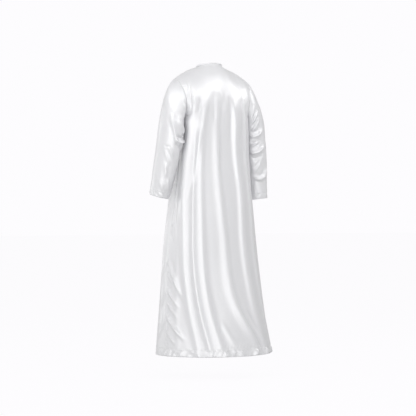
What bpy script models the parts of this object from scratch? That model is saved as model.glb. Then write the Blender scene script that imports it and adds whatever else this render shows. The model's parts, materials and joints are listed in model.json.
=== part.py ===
"""A long white thobe, hollow in the form in which it hangs from the shoulders.

The robe faces -Y and +Z is up. The origin lies between the shoulders, level with the points where the
shoulder seams meet the neck, because the shoulders carry the robe there. Sizes are in metres.
"""

import math

import bpy
import numpy as np
from mathutils import Vector

# Cloth
WALL = 0.0015
SEAM_GAP = 0.0003
SHARPEST_SEAM = 0.3
TURNUP_WALL = 0.0010
SMOOTH_ANGLE = math.radians(40)

# Length and shoulders
HEM_DROP = 1.430
UNDERARM_DROP = 0.265
SHOULDER_SHARE = 0.30
SHOULDER_COLUMNS = ("out", "drop", "bend_out", "bend_drop")
SHOULDERS = {"left": (0.197, 0.060, 0.140, 0.016), "right": (0.206, 0.054, 0.146, 0.010)}

# Neck
NECK_HALF_WIDTH = 0.066
NECK_DEPTH = {"back": 0.058, "front": 0.068}
NECK_SIDE_HEIGHT = 0.004
NECK_RISE = {"back": 0.012, "front": -0.048}
NECK_SCOOP = {"back": 1.0, "front": 1.4}
BAND_HEIGHT = 0.010
BAND_WALL = 0.0018
BAND_LIFT = 0.0006

# Hems, front opening and buttons
HEM_HEIGHT = 0.038
CUFF_HEM_HEIGHT = 0.027
SLIT_ROWS = 11
PLACKET_WIDTH = 0.034
PLACKET_ROWS = 12
PLACKET_INSET = 0.0009
PLACKET_EASE = 0.0002
BUTTON_RADIUS = 0.0055
BUTTON_THICK = 0.0022
BUTTON_SIDES = 20
BUTTON_ROWS = (2, 5, 8)

# Grid
YOKE_SIDE_COLUMNS = 9
NECK_COLUMNS = {"back": 16, "front": 14}
YOKE_ROWS = 12
SKIRT_ROWS = 20
YOKE_EASING = 10
RING_SAMPLES = 241
CAP_ROWS = 7
SLEEVE_ROWS = 13

SIDES = {"back": 1.0, "front": -1.0}

# The body's cross-sections. drop is below the origin, turn is in degrees, and slide moves the section
# along SLIDE_WAY, towards the side on which the skirt hangs over the standing leg.
BODY_COLUMNS = ("drop", "half_width", "depth_back", "depth_front", "squareness", "turn", "slide", "dent")
BODY_SECTIONS = (
    (0.265, 0.191, 0.148, 0.132, 3.0, 0.0, 0.000, 0.100),
    (0.450, 0.190, 0.149, 0.137, 2.8, 0.0, 0.002, 0.095),
    (0.660, 0.211, 0.168, 0.156, 2.5, -2.0, 0.005, 0.050),
    (0.910, 0.237, 0.182, 0.168, 2.3, -7.0, 0.004, 0.000),
    (1.160, 0.258, 0.199, 0.185, 2.2, -17.0, 0.012, 0.000),
    (1.430, 0.288, 0.215, 0.195, 2.1, -29.0, 0.024, 0.000),
)
SLIDE_WAY = (-0.87, 0.5)
# How far the hem is lifted round each panel, from the left side seam to the right one.
HEM_LIFT_SHARES = (0.0, 0.3, 0.55, 0.75, 1.0)
HEM_LIFT = {"back": (0.000, 0.000, 0.004, 0.010, 0.012), "front": (0.000, 0.000, 0.000, 0.006, 0.012)}
HEM_LIFT_HEIGHT = 0.35
DENT_BACK = 0.008
DENT_REACH = 0.065

# How each column of the back and front leaves its top edge and comes down to the underarm ring.
# share runs from the side seam, 0, to the centre, 0.5.
YOKE_COLUMNS = ("share", "top_in", "top_out", "top_fall", "low_out", "low_rise")
YOKE_SHAPE = {
    "back": (
        (0.00, 0.010, 0.080, 0.012, 0.160, 0.025),
        (0.05, 0.006, 0.077, 0.009, 0.158, 0.035),
        (0.10, 0.003, 0.072, 0.008, 0.120, 0.055),
        (0.16, -0.004, 0.066, 0.008, 0.065, 0.090),
        (0.22, -0.014, 0.058, 0.009, 0.030, 0.115),
        (0.30, -0.028, 0.052, 0.014, 0.014, 0.125),
        (0.40, -0.022, 0.046, 0.026, 0.008, 0.125),
        (0.50, 0.000, 0.044, 0.034, 0.006, 0.125),
    ),
    "front": (
        (0.00, 0.013, 0.064, 0.014, 0.120, 0.025),
        (0.05, 0.009, 0.062, 0.013, 0.118, 0.035),
        (0.10, 0.004, 0.058, 0.012, 0.085, 0.060),
        (0.16, -0.003, 0.054, 0.012, 0.040, 0.090),
        (0.22, -0.012, 0.048, 0.014, 0.018, 0.105),
        (0.30, -0.024, 0.042, 0.022, 0.010, 0.110),
        (0.40, -0.018, 0.036, 0.036, 0.008, 0.105),
        (0.50, 0.000, 0.034, 0.044, 0.006, 0.100),
    ),
}

# Long soft folds. share is counted across the panel from the wearer's left side seam.
FOLD_COLUMNS = ("share_top", "share_hem", "drop_top", "drop_low", "height", "half_width")
BODY_FOLDS = {
    "back": (
        (0.15, 0.18, 0.34, 1.60, 0.0060, 0.036),
        (0.27, 0.31, 0.15, 1.60, 0.0075, 0.036),
        (0.41, 0.45, 0.15, 1.60, 0.0055, 0.036),
        (0.59, 0.56, 0.12, 1.60, 0.0075, 0.036),
        (0.73, 0.71, 0.15, 1.60, 0.0060, 0.038),
        (0.86, 0.85, 0.30, 1.60, 0.0060, 0.036),
    ),
    "front": (
        (0.20, 0.16, 0.30, 1.60, 0.0060, 0.040),
        (0.34, 0.31, 0.26, 1.60, 0.0070, 0.040),
        (0.50, 0.50, 0.45, 1.60, 0.0050, 0.044),
        (0.66, 0.69, 0.26, 1.60, 0.0070, 0.040),
        (0.80, 0.84, 0.30, 1.60, 0.0060, 0.040),
    ),
}
FOLD_FADE = 0.16
FOLD_DRIFT_DROP = 0.9
SEAM_FADE = 0.08

# The sleeves' cross-sections. back is the section's centre behind the shoulder line.
SLEEVE_COLUMNS = ("drop", "out", "back", "half_width", "half_depth")
SLEEVE_SECTIONS = {
    "left": (
        (0.310, 0.234, 0.033, 0.060, 0.076),
        (0.410, 0.245, 0.024, 0.059, 0.072),
        (0.510, 0.257, 0.009, 0.056, 0.066),
        (0.585, 0.266, -0.004, 0.052, 0.059),
        (0.642, 0.275, -0.017, 0.047, 0.051),
    ),
    "right": (
        (0.310, 0.241, 0.018, 0.060, 0.074),
        (0.410, 0.251, 0.017, 0.059, 0.070),
        (0.510, 0.262, 0.012, 0.056, 0.064),
        (0.585, 0.271, 0.011, 0.052, 0.058),
        (0.655, 0.279, 0.015, 0.047, 0.050),
    ),
}
# The way that a sleeve leaves the armhole: at its top, back, bottom and front.
CAP_LEAVE, CAP_ARRIVE = 0.80, 0.55
CAP_WAYS = {
    "left": ((0.86, 0.00, -0.50), (0.60, 0.32, -0.73), (0.90, 0.00, -0.40), (0.62, -0.22, -0.75)),
    "right": ((0.86, 0.00, -0.50), (0.62, 0.30, -0.80), (0.85, 0.00, -0.50), (0.65, -0.25, -0.72)),
}

# Sleeve creases. around is in turns from the top by way of the back, and slant is in turns per metre.
CREASE_COLUMNS = ("drop", "around", "slant", "half_height", "half_turn", "height")
SLEEVE_CREASES = {
    "left": (
        (0.300, 0.30, 2.0, 0.016, 0.16, 0.0040),
        (0.385, 0.36, 2.5, 0.018, 0.15, 0.0065),
        (0.470, 0.28, 2.5, 0.018, 0.14, 0.0045),
    ),
    "right": (
        (0.330, 0.26, -2.5, 0.016, 0.16, 0.0045),
        (0.400, 0.30, -2.5, 0.018, 0.17, 0.0060),
        (0.465, 0.30, 1.5, 0.018, 0.16, 0.0055),
    ),
}

CREASE_FADE_ROWS = 3
AXIS_STEP = 0.01

WHITE_SATIN = (0.86, 0.86, 0.87, 1.0)
PEARL = (0.88, 0.87, 0.84, 1.0)


def column(table, names, name):
    """One named column of a table."""
    return np.array([row[names.index(name)] for row in table])


def through(table, names, name, at):
    """A smooth curve through a named column, read at one place along the table's first column."""
    places, values = column(table, names, names[0]), column(table, names, name)
    slopes = np.gradient(values, places)
    i = int(np.clip(np.searchsorted(places, at) - 1, 0, len(places) - 2))
    span = places[i + 1] - places[i]
    t = min(max((at - places[i]) / span, 0.0), 1.0)
    rise = values[i + 1] - values[i]
    bend = t * (t - 1) * ((t - 1) * (slopes[i] * span - rise) + t * (slopes[i + 1] * span - rise))
    return values[i] + t * rise + bend


def ease(t):
    """0 to 1 with a soft start and end."""
    t = np.clip(t, 0.0, 1.0)
    return t * t * (3 - 2 * t)


def unit(vectors):
    """Vectors made one long."""
    return vectors / np.maximum(np.linalg.norm(vectors, axis=-1, keepdims=True), 1e-12)


def column_shares(panel):
    """Where the panel's columns stand, from the left side seam, 0, to the right one, 1."""
    shoulder = np.linspace(0, SHOULDER_SHARE, YOKE_SIDE_COLUMNS + 1)
    neck = np.linspace(SHOULDER_SHARE, 1 - SHOULDER_SHARE, NECK_COLUMNS[panel] + 1)
    return np.concatenate([shoulder[:-1], neck, 1 - shoulder[::-1][1:]])


def body_ring(panel, drop, shares):
    """Half of the body's cross-section, from the left side seam to the right one."""
    size = {name: through(BODY_SECTIONS, BODY_COLUMNS, name, drop) for name in BODY_COLUMNS[1:]}
    turn = math.radians(size["turn"])
    angle = np.linspace(0, math.pi, RING_SAMPLES) * SIDES[panel]
    across, deep = np.cos(angle - turn), np.sin(angle - turn)
    depth = np.where(deep > 0, size["depth_back"], size["depth_front"])
    n = size["squareness"]
    radius = (np.abs(across / size["half_width"]) ** n + np.abs(deep / depth) ** n) ** (-1 / n)
    x, y = radius * np.cos(angle), radius * np.sin(angle)
    x *= 1 - size["dent"] * np.exp(-(((y - DENT_BACK) / DENT_REACH) ** 2))
    x, y = x + SLIDE_WAY[0] * size["slide"], y + SLIDE_WAY[1] * size["slide"]
    way = np.concatenate([[0.0], np.cumsum(np.hypot(np.diff(x), np.diff(y)))])
    at = shares * way[-1]
    return np.stack([np.interp(at, way, x), np.interp(at, way, y), np.full(len(shares), -drop)], 1)


def top_edge(panel, shares):
    """The shoulder seams and, between them, the neck seam."""
    inward = np.minimum(shares, 1 - shares)
    left = np.where(shares <= 0.5, 1.0, -1.0)
    t = np.clip(inward / SHOULDER_SHARE, 0, 1)
    sizes = np.where(shares[:, None] <= 0.5, SHOULDERS["left"], SHOULDERS["right"])
    out, drop, bend_out, bend_drop = sizes.T
    x = (1 - t) ** 2 * out + 2 * t * (1 - t) * bend_out + t**2 * NECK_HALF_WIDTH
    z = t**2 * NECK_SIDE_HEIGHT - (1 - t) ** 2 * drop - 2 * t * (1 - t) * bend_drop
    turn = np.clip((inward - SHOULDER_SHARE) / (0.5 - SHOULDER_SHARE), 0, 1) * math.pi / 2
    on_neck = inward > SHOULDER_SHARE
    x = np.where(on_neck, NECK_HALF_WIDTH * np.cos(turn), x)
    y = np.where(on_neck, NECK_DEPTH[panel] * np.sin(turn), 0.0)
    rise = NECK_RISE[panel] * np.sin(turn) ** NECK_SCOOP[panel]
    z = np.where(on_neck, NECK_SIDE_HEIGHT + rise, z)
    return np.stack([left * x, SIDES[panel] * y, z], 1)


def skirt_drops():
    """How far down each row from the underarm to the hem is. The last cell is the hem's height."""
    return np.append(np.linspace(UNDERARM_DROP, HEM_DROP - HEM_HEIGHT, SKIRT_ROWS), HEM_DROP)


def body_net(panel):
    """The panel's points, rows from the top edge down to the hem and columns from left to right."""
    shares = column_shares(panel)
    shape = {
        name: np.array([through(YOKE_SHAPE[panel], YOKE_COLUMNS, name, min(s, 1 - s)) for s in shares])
        for name in YOKE_COLUMNS[1:]
    }
    left = np.where(shares <= 0.5, 1.0, -1.0)
    side = SIDES[panel]
    top = top_edge(panel, shares)
    low = body_ring(panel, UNDERARM_DROP, shares)
    leave = top + np.stack([-left * shape["top_in"], side * shape["top_out"], -shape["top_fall"]], 1)
    arrive = low + np.stack([0 * left, side * shape["low_out"], shape["low_rise"]], 1)
    rows = []
    for t in np.linspace(0, 1, YOKE_ROWS + 1)[:-1]:
        s = 1 - t
        rows.append(s**3 * top + 3 * s * s * t * leave + 3 * s * t * t * arrive + t**3 * low)
    rows += [body_ring(panel, drop, shares) for drop in skirt_drops()]
    net = np.array(rows)
    for _ in range(YOKE_EASING):
        beside = (net[1:YOKE_ROWS, :-2] + net[1:YOKE_ROWS, 2:]) / 2
        net[1:YOKE_ROWS, 1:-1] = (net[1:YOKE_ROWS, 1:-1] + beside) / 2
    lift = np.interp(shares, HEM_LIFT_SHARES, HEM_LIFT[panel])
    net[:, :, 2] += lift * ease((HEM_LIFT_HEIGHT - HEM_DROP - net[:, :, 2]) / HEM_LIFT_HEIGHT)
    return net


def fold_height(panel, net):
    """How far the long folds lift each point of a body net."""
    share = np.broadcast_to(column_shares(panel), net.shape[:2])
    drop = -net[:, :, 2]
    lift = np.zeros(net.shape[:2])
    for fold in BODY_FOLDS[panel]:
        f = dict(zip(FOLD_COLUMNS, fold))
        drift = ease((drop - FOLD_DRIFT_DROP) / (HEM_DROP - FOLD_DRIFT_DROP))
        middle = f["share_top"] + (f["share_hem"] - f["share_top"]) * drift
        along = ease((drop - f["drop_top"]) / FOLD_FADE) * ease((f["drop_low"] - drop) / FOLD_FADE)
        ridge = np.exp(-(((share - middle) / f["half_width"]) ** 2))
        level = f["half_width"] * math.sqrt(math.pi)
        lift += f["height"] * along * (ridge - level)
    edge = ease(np.minimum(share, 1 - share) / SEAM_FADE)
    return lift * edge


def net_normals(net, outward, closed=False):
    """Unit normals of a grid of points."""
    down = np.gradient(net, axis=0)
    if closed:
        ring = np.concatenate([net[:, -1:], net, net[:, :1]], axis=1)
        across = np.gradient(ring, axis=1)[:, 1:-1]
    else:
        across = np.gradient(net, axis=1)
    return unit(np.cross(down, across) * outward)


def average_where_they_meet(nets, normals):
    """Gives points of different nets that coincide one normal, from each different normal there."""
    points = np.concatenate([net.reshape(-1, 3) for net in nets.values()])
    flat = np.concatenate([normals[name].reshape(-1, 3) for name in nets])
    _, place = np.unique(np.round(points, 6), axis=0, return_inverse=True)
    place = place.reshape(-1)
    both = np.round(np.column_stack([place, flat]), 6)
    _, different = np.unique(both, axis=0, return_index=True)
    total = np.zeros((place.max() + 1, 3))
    np.add.at(total, place[different], flat[different])
    shared, made, start = unit(total[place]), {}, 0
    for name, net in nets.items():
        count = net.shape[0] * net.shape[1]
        made[name] = shared[start : start + count].reshape(net.shape)
        start += count
    return made


def draw_in(net, normals, sides):
    """Moves a net's named edges inwards along the cloth, so that half a seam gap is left outside each."""
    drawn = net.copy()
    edges = {"top": (0, 1), "left": ((slice(None), 0), (slice(None), 1))}
    edges["right"] = ((slice(None), -1), (slice(None), -2))
    for side in sides:
        edge, beside = edges[side]
        along = unit(np.gradient(net[edge], axis=0))
        inward = net[beside] - net[edge]
        inward = unit(inward - np.sum(inward * along, axis=1, keepdims=True) * along)
        slope = np.sum(inward * normals[edge], axis=1, keepdims=True)
        spread = np.sqrt(np.maximum(1 - slope**2, SHARPEST_SEAM**2))
        drawn[edge] += inward * SEAM_GAP / 2 / spread
    return drawn


def grid_faces(rows, columns, closed=False, flip=False):
    """Triangles of a grid whose points are counted row by row, two for each cell."""
    faces = []
    for r in range(rows - 1):
        for c in range(columns if closed else columns - 1):
            d = (c + 1) % columns
            a, b, e, f = r * columns + c, r * columns + d, (r + 1) * columns + d, (r + 1) * columns + c
            faces += [(a, e, b), (a, f, e)] if flip else [(a, b, e), (a, e, f)]
    return faces


def walled(name, outer, inner, faces, finish):
    """A closed wall between an outer and an inner layer of points, with rims along every open edge."""
    outer, inner = outer.reshape(-1, 3), inner.reshape(-1, 3)
    count = len(outer)
    edges = {}
    for face in faces:
        for a, b in zip(face, face[1:] + face[:1]):
            edges[(a, b)] = True
    rims = [(b, a, a + count, b + count) for a, b in edges if (b, a) not in edges]
    under = [tuple(v + count for v in face[::-1]) for face in faces]
    mesh = bpy.data.meshes.new(name)
    mesh.from_pydata(np.concatenate([outer, inner]).tolist(), [], list(faces) + under + rims)
    mesh.validate()
    mesh.materials.append(finish)
    mesh.shade_smooth()
    mesh.set_sharp_from_angle(angle=SMOOTH_ANGLE)
    bpy.data.collections["thobe"].objects.link(bpy.data.objects.new(name, mesh))


def material(name, colour, roughness):
    """A plain finish."""
    made = bpy.data.materials.new(name)
    made.use_nodes = True
    shader = made.node_tree.nodes["Principled BSDF"]
    shader.inputs["Base Color"].default_value = colour
    shader.inputs["Roughness"].default_value = roughness
    return made


def centre_column(panel):
    """The column at the panel's centre line."""
    return YOKE_SIDE_COLUMNS + NECK_COLUMNS[panel] // 2


def make_body(nets, normals, cloth):
    """The back in one piece, and the front with its opening slit."""
    net = draw_in(nets["back"], normals["back"], ("top", "left", "right"))
    faces = grid_faces(*net.shape[:2], flip=True)
    walled("back", net, net - normals["back"] * WALL, faces, cloth)

    net = draw_in(nets["front"], normals["front"], ("top", "left", "right"))
    rows, columns = net.shape[:2]
    middle = centre_column("front")
    faces = grid_faces(rows, columns)
    outer, inner = net.reshape(-1, 3), (net - normals["front"] * WALL).reshape(-1, 3)
    slit = {r * columns + middle: rows * columns + r for r in range(SLIT_ROWS)}
    ids = list(slit)
    aside = np.array([SEAM_GAP, 0.0, 0.0])
    outer = np.concatenate([outer, outer[ids] - aside])
    inner = np.concatenate([inner, inner[ids] - aside])
    outer[ids] += aside
    inner[ids] += aside
    faces = [
        tuple(slit.get(v, v) for v in face) if i // 2 % (columns - 1) >= middle else face
        for i, face in enumerate(faces)
    ]
    walled("front", outer, inner, faces, cloth)


def armhole(nets, left):
    """The armhole's points, from the shoulder down the back, round the underarm and up the front."""
    edge = 0 if left else -1
    back = nets["back"][: YOKE_ROWS + 1, edge]
    front = nets["front"][: YOKE_ROWS + 1, edge]
    return np.concatenate([back, front[::-1][1:-1]])


def sleeve_station(table, drop):
    """Centre and half sizes of a sleeve section."""
    return {name: through(table, SLEEVE_COLUMNS, name, drop) for name in SLEEVE_COLUMNS[1:]}


def sleeve_ring(table, drop, turns):
    """A ring of the sleeve, square to its axis, and the axis, for the left arm."""
    here = sleeve_station(table, drop)
    lowest, highest = table[-1][0], table[0][0]
    above, below = max(drop - AXIS_STEP, highest), min(drop + AXIS_STEP, lowest)
    before, after = sleeve_station(table, above), sleeve_station(table, below)
    axis = unit(np.array([after["out"] - before["out"], after["back"] - before["back"], above - below]))
    out = unit(np.array([1.0, 0, 0]) - axis[0] * axis)
    back = np.cross(axis, out)
    back = back if back[1] > 0 else -back
    angle = turns * 2 * math.pi
    centre = np.array([here["out"], here["back"], -drop])
    ring = (
        centre
        + np.outer(np.cos(angle), out) * here["half_width"]
        + np.outer(np.sin(angle), back) * here["half_depth"]
    )
    return ring, axis


def sleeve_turns():
    """The columns' places round the sleeve, in turns from its top by way of the back."""
    return np.linspace(0, 1, 2 * YOKE_ROWS + 1)[:-1]


def crease_height(side, drop, turns):
    """How far the creases lift each point of a sleeve."""
    lift = np.zeros(drop.shape)
    for crease in SLEEVE_CREASES[side]:
        c = dict(zip(CREASE_COLUMNS, crease))
        away = (turns - c["around"] + 0.5) % 1.0 - 0.5
        line = c["drop"] + away / c["slant"]
        ridge = np.exp(-(((drop - line) / c["half_height"]) ** 2))
        lift += c["height"] * ridge * np.exp(-((away / c["half_turn"]) ** 2))
    return lift


def sleeve_net(side, nets):
    """The sleeve's points from the armhole to the cuff."""
    left = side == "left"
    mirror = np.array([1.0 if left else -1.0, 1, 1])
    hole = armhole(nets, left) * mirror
    table = SLEEVE_SECTIONS[side]
    turns = sleeve_turns()
    first, last = table[0][0], table[-1][0]
    ring, axis = sleeve_ring(table, first, turns)
    ways = np.array([*CAP_WAYS[side], CAP_WAYS[side][0]])
    way = unit(np.stack([np.interp(turns * 4, range(5), ways[:, k]) for k in range(3)], 1))
    rise = ring - hole
    reach = np.linalg.norm(rise, axis=1, keepdims=True)
    rows = []
    for t in np.linspace(0, 1, CAP_ROWS + 1)[:-1]:
        leave, arrive = way * reach * CAP_LEAVE - rise, axis * reach * CAP_ARRIVE - rise
        bend = (t - 1) * leave + t * arrive
        rows.append(hole + t * rise + t * (t - 1) * bend)
    for drop in np.append(np.linspace(first, last - CUFF_HEM_HEIGHT, SLEEVE_ROWS), last):
        rows.append(sleeve_ring(table, drop, turns)[0])
    net = np.array(rows)
    normals = net_normals(net, 1.0, closed=True)
    lift = crease_height(side, -net[:, :, 2], turns) * ease(np.arange(len(net)) / CREASE_FADE_ROWS)[:, None]
    return (net + normals * lift[:, :, None]) * mirror


def make_sleeve(side, net, normals, cloth):
    """A sleeve with its turned-up cuff."""
    flip = side == "left"
    drawn = draw_in(net, normals, ("top",))
    faces = grid_faces(*net.shape[:2], closed=True, flip=flip)
    walled(f"{side}_sleeve", drawn, drawn - normals * WALL, faces, cloth)

    outer = (net - normals * (WALL + SEAM_GAP))[-2:]
    inner = (net - normals * (WALL + SEAM_GAP + TURNUP_WALL))[-2:]
    walled(f"{side}_cuff_hem", outer, inner, grid_faces(*outer.shape[:2], closed=True, flip=flip), cloth)


def joined(nets, normals, inside):
    """The last two rows of the back and front as rings, moved inside the cloth."""
    back, front = ((nets[panel] - normals[panel] * inside)[-2:] for panel in SIDES)
    return np.concatenate([back, front[:, ::-1][:, 1:-1]], axis=1)


def make_hem(nets, normals, cloth):
    """The hem's turned-up strip, a ring inside the back and front."""
    band = joined(nets, normals, WALL + SEAM_GAP)
    under = joined(nets, normals, WALL + SEAM_GAP + TURNUP_WALL)
    faces = grid_faces(*band.shape[:2], closed=True, flip=True)
    walled("hem_turnup", band, under, faces, cloth)


def make_neck_band(nets, cloth):
    """The narrow standing band on the neck seam, open at the centre front."""
    back = nets["back"][0, YOKE_SIDE_COLUMNS : -YOKE_SIDE_COLUMNS]
    front = nets["front"][0, YOKE_SIDE_COLUMNS : -YOKE_SIDE_COLUMNS]
    half = NECK_COLUMNS["front"] // 2
    loop = np.concatenate([front[: half + 1][::-1][:-1], back, front[half:][::-1][1:]])
    loop[0, 0] += SEAM_GAP
    loop[-1, 0] -= SEAM_GAP
    up = np.array([0, 0, 1.0])
    band = np.array([loop + up * (BAND_HEIGHT + BAND_LIFT), loop + up * BAND_LIFT])
    outward = unit(loop * np.array([1, 1, 0.0]))
    outer = band + outward * BAND_WALL / 2
    inner = band - outward * BAND_WALL / 2
    faces = grid_faces(*band.shape[:2], flip=True)
    walled("neck_band", outer, inner, faces, cloth)


def beside_centre(net, aside):
    """The front's points beside its centre line, a row at a time."""
    rows = net[: PLACKET_ROWS + 1]
    return np.array([[np.interp(aside, -row[:, 0], row[:, k]) for k in range(3)] for row in rows])


def make_placket(net, normals, cloth):
    """The strip over the front opening, made from the front's own points, moved out."""
    middle = centre_column("front")
    halves = (-PLACKET_WIDTH / 2, 0.0, PLACKET_WIDTH / 2)
    strip = np.stack([beside_centre(net, aside) for aside in halves], axis=1)
    strip[0] += unit(strip[1] - strip[0]) * PLACKET_INSET
    out = normals[: PLACKET_ROWS + 1, middle][:, None]
    low = strip + out * (SEAM_GAP + PLACKET_EASE)
    walled("placket", low + out * WALL, low, grid_faces(*strip.shape[:2]), cloth)
    return (low + out * WALL)[:, 1], out[:, 0]


def make_buttons(seats, facings, finish):
    """Small buttons down the placket."""
    for number, row in enumerate(BUTTON_ROWS, 1):
        place = (seats[row] + seats[row + 1]) / 2
        facing = unit(facings[row] + facings[row + 1])
        bpy.ops.mesh.primitive_cylinder_add(vertices=BUTTON_SIDES, radius=BUTTON_RADIUS, depth=BUTTON_THICK)
        button = bpy.context.object
        button.name = button.data.name = f"button_{number}"
        button.location = place + facing * (BUTTON_THICK / 2 + SEAM_GAP)
        button.rotation_mode = "QUATERNION"
        button.rotation_quaternion = Vector(facing).to_track_quat("Z", "Y")
        button.data.materials.append(finish)
        button.data.shade_smooth()
        button.data.set_sharp_from_angle(angle=SMOOTH_ANGLE)
        for old in list(button.users_collection):
            old.objects.unlink(button)
        bpy.data.collections["thobe"].objects.link(button)


def main():
    """Builds the whole robe."""
    for old in list(bpy.data.objects):
        bpy.data.objects.remove(old, do_unlink=True)
    bpy.context.scene.collection.children.link(bpy.data.collections.new("thobe"))
    cloth = material("white_satin", WHITE_SATIN, 0.35)
    pearl = material("pearl_button", PEARL, 0.25)

    nets = {panel: body_net(panel) for panel in SIDES}
    for panel, net in nets.items():
        nets[panel] = net + net_normals(net, SIDES[panel]) * fold_height(panel, net)[:, :, None]
    plain = {panel: net_normals(nets[panel], SIDES[panel]) for panel in SIDES}
    normals = average_where_they_meet(nets, plain)
    for side, outward in (("left", 1.0), ("right", -1.0)):
        nets[side] = sleeve_net(side, nets)
        normals[side] = net_normals(nets[side], outward, closed=True)
    normals = average_where_they_meet(nets, normals)

    make_body(nets, normals, cloth)
    for side in ("left", "right"):
        make_sleeve(side, nets[side], normals[side], cloth)
    make_hem(nets, normals, cloth)
    make_neck_band(nets, cloth)
    seats, facings = make_placket(nets["front"], normals["front"], cloth)
    make_buttons(seats, facings, pearl)


main()
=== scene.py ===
"""A long white satin thobe with a narrow neck band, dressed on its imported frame.

Sizes are in metres. The robe faces -Y, its own left is +X, and the origin lies between the shoulders.
"""

from __future__ import annotations

import json
import logging
import math
import random
from collections.abc import Sequence
from dataclasses import dataclass, field
from enum import Enum

import bpy
import numpy as np
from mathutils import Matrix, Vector

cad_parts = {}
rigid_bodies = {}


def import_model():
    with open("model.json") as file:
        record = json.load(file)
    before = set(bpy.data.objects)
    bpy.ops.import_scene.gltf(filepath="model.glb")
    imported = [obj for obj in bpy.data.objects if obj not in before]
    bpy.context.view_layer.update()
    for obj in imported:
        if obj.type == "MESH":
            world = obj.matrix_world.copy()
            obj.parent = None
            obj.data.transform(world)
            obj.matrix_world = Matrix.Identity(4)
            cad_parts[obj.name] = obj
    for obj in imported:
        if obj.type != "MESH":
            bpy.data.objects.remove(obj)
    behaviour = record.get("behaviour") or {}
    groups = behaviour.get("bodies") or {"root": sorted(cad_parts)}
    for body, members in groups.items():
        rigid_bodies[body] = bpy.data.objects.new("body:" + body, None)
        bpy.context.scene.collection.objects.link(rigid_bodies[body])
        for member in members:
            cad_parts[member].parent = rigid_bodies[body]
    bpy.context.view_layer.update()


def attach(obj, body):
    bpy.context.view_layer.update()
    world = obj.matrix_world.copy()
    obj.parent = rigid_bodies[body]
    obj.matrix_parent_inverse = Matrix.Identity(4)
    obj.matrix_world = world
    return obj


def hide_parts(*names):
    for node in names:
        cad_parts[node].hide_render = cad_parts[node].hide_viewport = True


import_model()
LOG = logging.getLogger("thobe")
BODY = "root"

Grid = np.ndarray


class Panel(Enum):
    """The body's two panels. The value is the way that each faces along Y."""

    BACK = 1.0
    FRONT = -1.0


class Side(Enum):
    """The two arms. The value is the way that each lies along X."""

    LEFT = 1.0
    RIGHT = -1.0


class Slot(Enum):
    """The record's material slots."""

    SATIN = "white_satin"
    PEARL = "pearl_button"


class Hold(Enum):
    """The ways in which a piece of cloth is held."""

    HUNG = "hung"
    FOLDED = "folded"
    STRETCHED = "stretched"


SEEDS = {Panel.BACK: 10, Panel.FRONT: 20, Side.LEFT: 30, Side.RIGHT: 40}


def ease(t: Grid | float) -> Grid:
    """0 to 1 with a soft start and end."""
    t = np.clip(t, 0.0, 1.0)
    return t * t * (3 - 2 * t)


def unit(vectors: Grid) -> Grid:
    """Vectors made one long."""
    return vectors / np.maximum(np.linalg.norm(vectors, axis=-1, keepdims=True), 1e-12)


def smooth_through(
    places: Grid, values: Grid, at: Grid, leave: Grid | None = None, arrive: Grid | None = None
) -> Grid:
    """Reads a smooth curve through values.

    Args:
        places: Where the values lie, in rising order.
        values: The values, one for each place along the first axis.
        at: The places to read.
        leave: The slope with which the curve leaves each value, or None for the middle one.
        arrive: The slope with which it reaches each value, or None for the middle one.

    Returns:
        The values read, one for each place in at along the first axis.
    """
    middle = np.gradient(values, places, axis=0)
    leave = middle if leave is None else leave
    arrive = middle if arrive is None else arrive
    at = np.asarray(at, float)
    i = np.clip(np.searchsorted(places, at) - 1, 0, len(places) - 2)
    shape = (-1,) + (1,) * (values.ndim - 1)
    span = (places[i + 1] - places[i]).reshape(shape)
    t = np.clip((at.reshape(shape) - places[i].reshape(shape)) / span, 0.0, 1.0)
    rise = values[i + 1] - values[i]
    bend = (t - 1) * (leave[i] * span - rise) + t * (arrive[i + 1] * span - rise)
    return values[i] + t * rise + t * (t - 1) * bend


def subdivided(knots: Grid, parts: Sequence[int]) -> Grid:
    """Values that divide each span between the knots into its number of parts."""
    spans = [np.linspace(a, b, n + 1)[:-1] for a, b, n in zip(knots[:-1], knots[1:], parts)]
    return np.append(np.concatenate(spans), knots[-1])


@dataclass(frozen=True)
class Table:
    """Rows of numbers under named columns. The first column says where each row lies."""

    names: tuple[str, ...]
    rows: tuple[tuple[float, ...], ...]

    def column(self, name: str) -> Grid:
        """One named column."""
        return np.array([row[self.names.index(name)] for row in self.rows])

    def through(self, name: str, at: Grid | float) -> Grid:
        """A smooth curve through a named column, read at places along the first column."""
        at = np.atleast_1d(np.asarray(at, float))
        return smooth_through(self.column(self.names[0]), self.column(name), at)

    def size(self, name: str, at: float) -> float:
        """A smooth curve through a named column, read at one place."""
        return float(self.through(name, at)[0])


@dataclass
class ClothNet:
    """A grid of points with its normals, its distances across and down, and its shares or turns."""

    points: Grid
    normals: Grid
    across: Grid
    down: Grid
    girth: Grid
    closed: bool = False

    @property
    def drop(self) -> Grid:
        """How far each point lies below the origin."""
        return -self.points[:, :, 2]

    @property
    def metres(self) -> Grid:
        """Each point's distance across the cloth from its first column."""
        return self.across[None, :] * self.girth[:, None]


def normals_of(points: Grid, outward: float, closed: bool = False) -> Grid:
    """Unit normals of a grid of points, on the side that outward gives."""
    down = np.gradient(points, axis=0)
    if closed:
        ring = np.concatenate([points[:, -1:], points, points[:, :1]], axis=1)
        across = np.gradient(ring, axis=1)[:, 1:-1]
    else:
        across = np.gradient(points, axis=1)
    return unit(np.cross(down, across) * outward)


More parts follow.
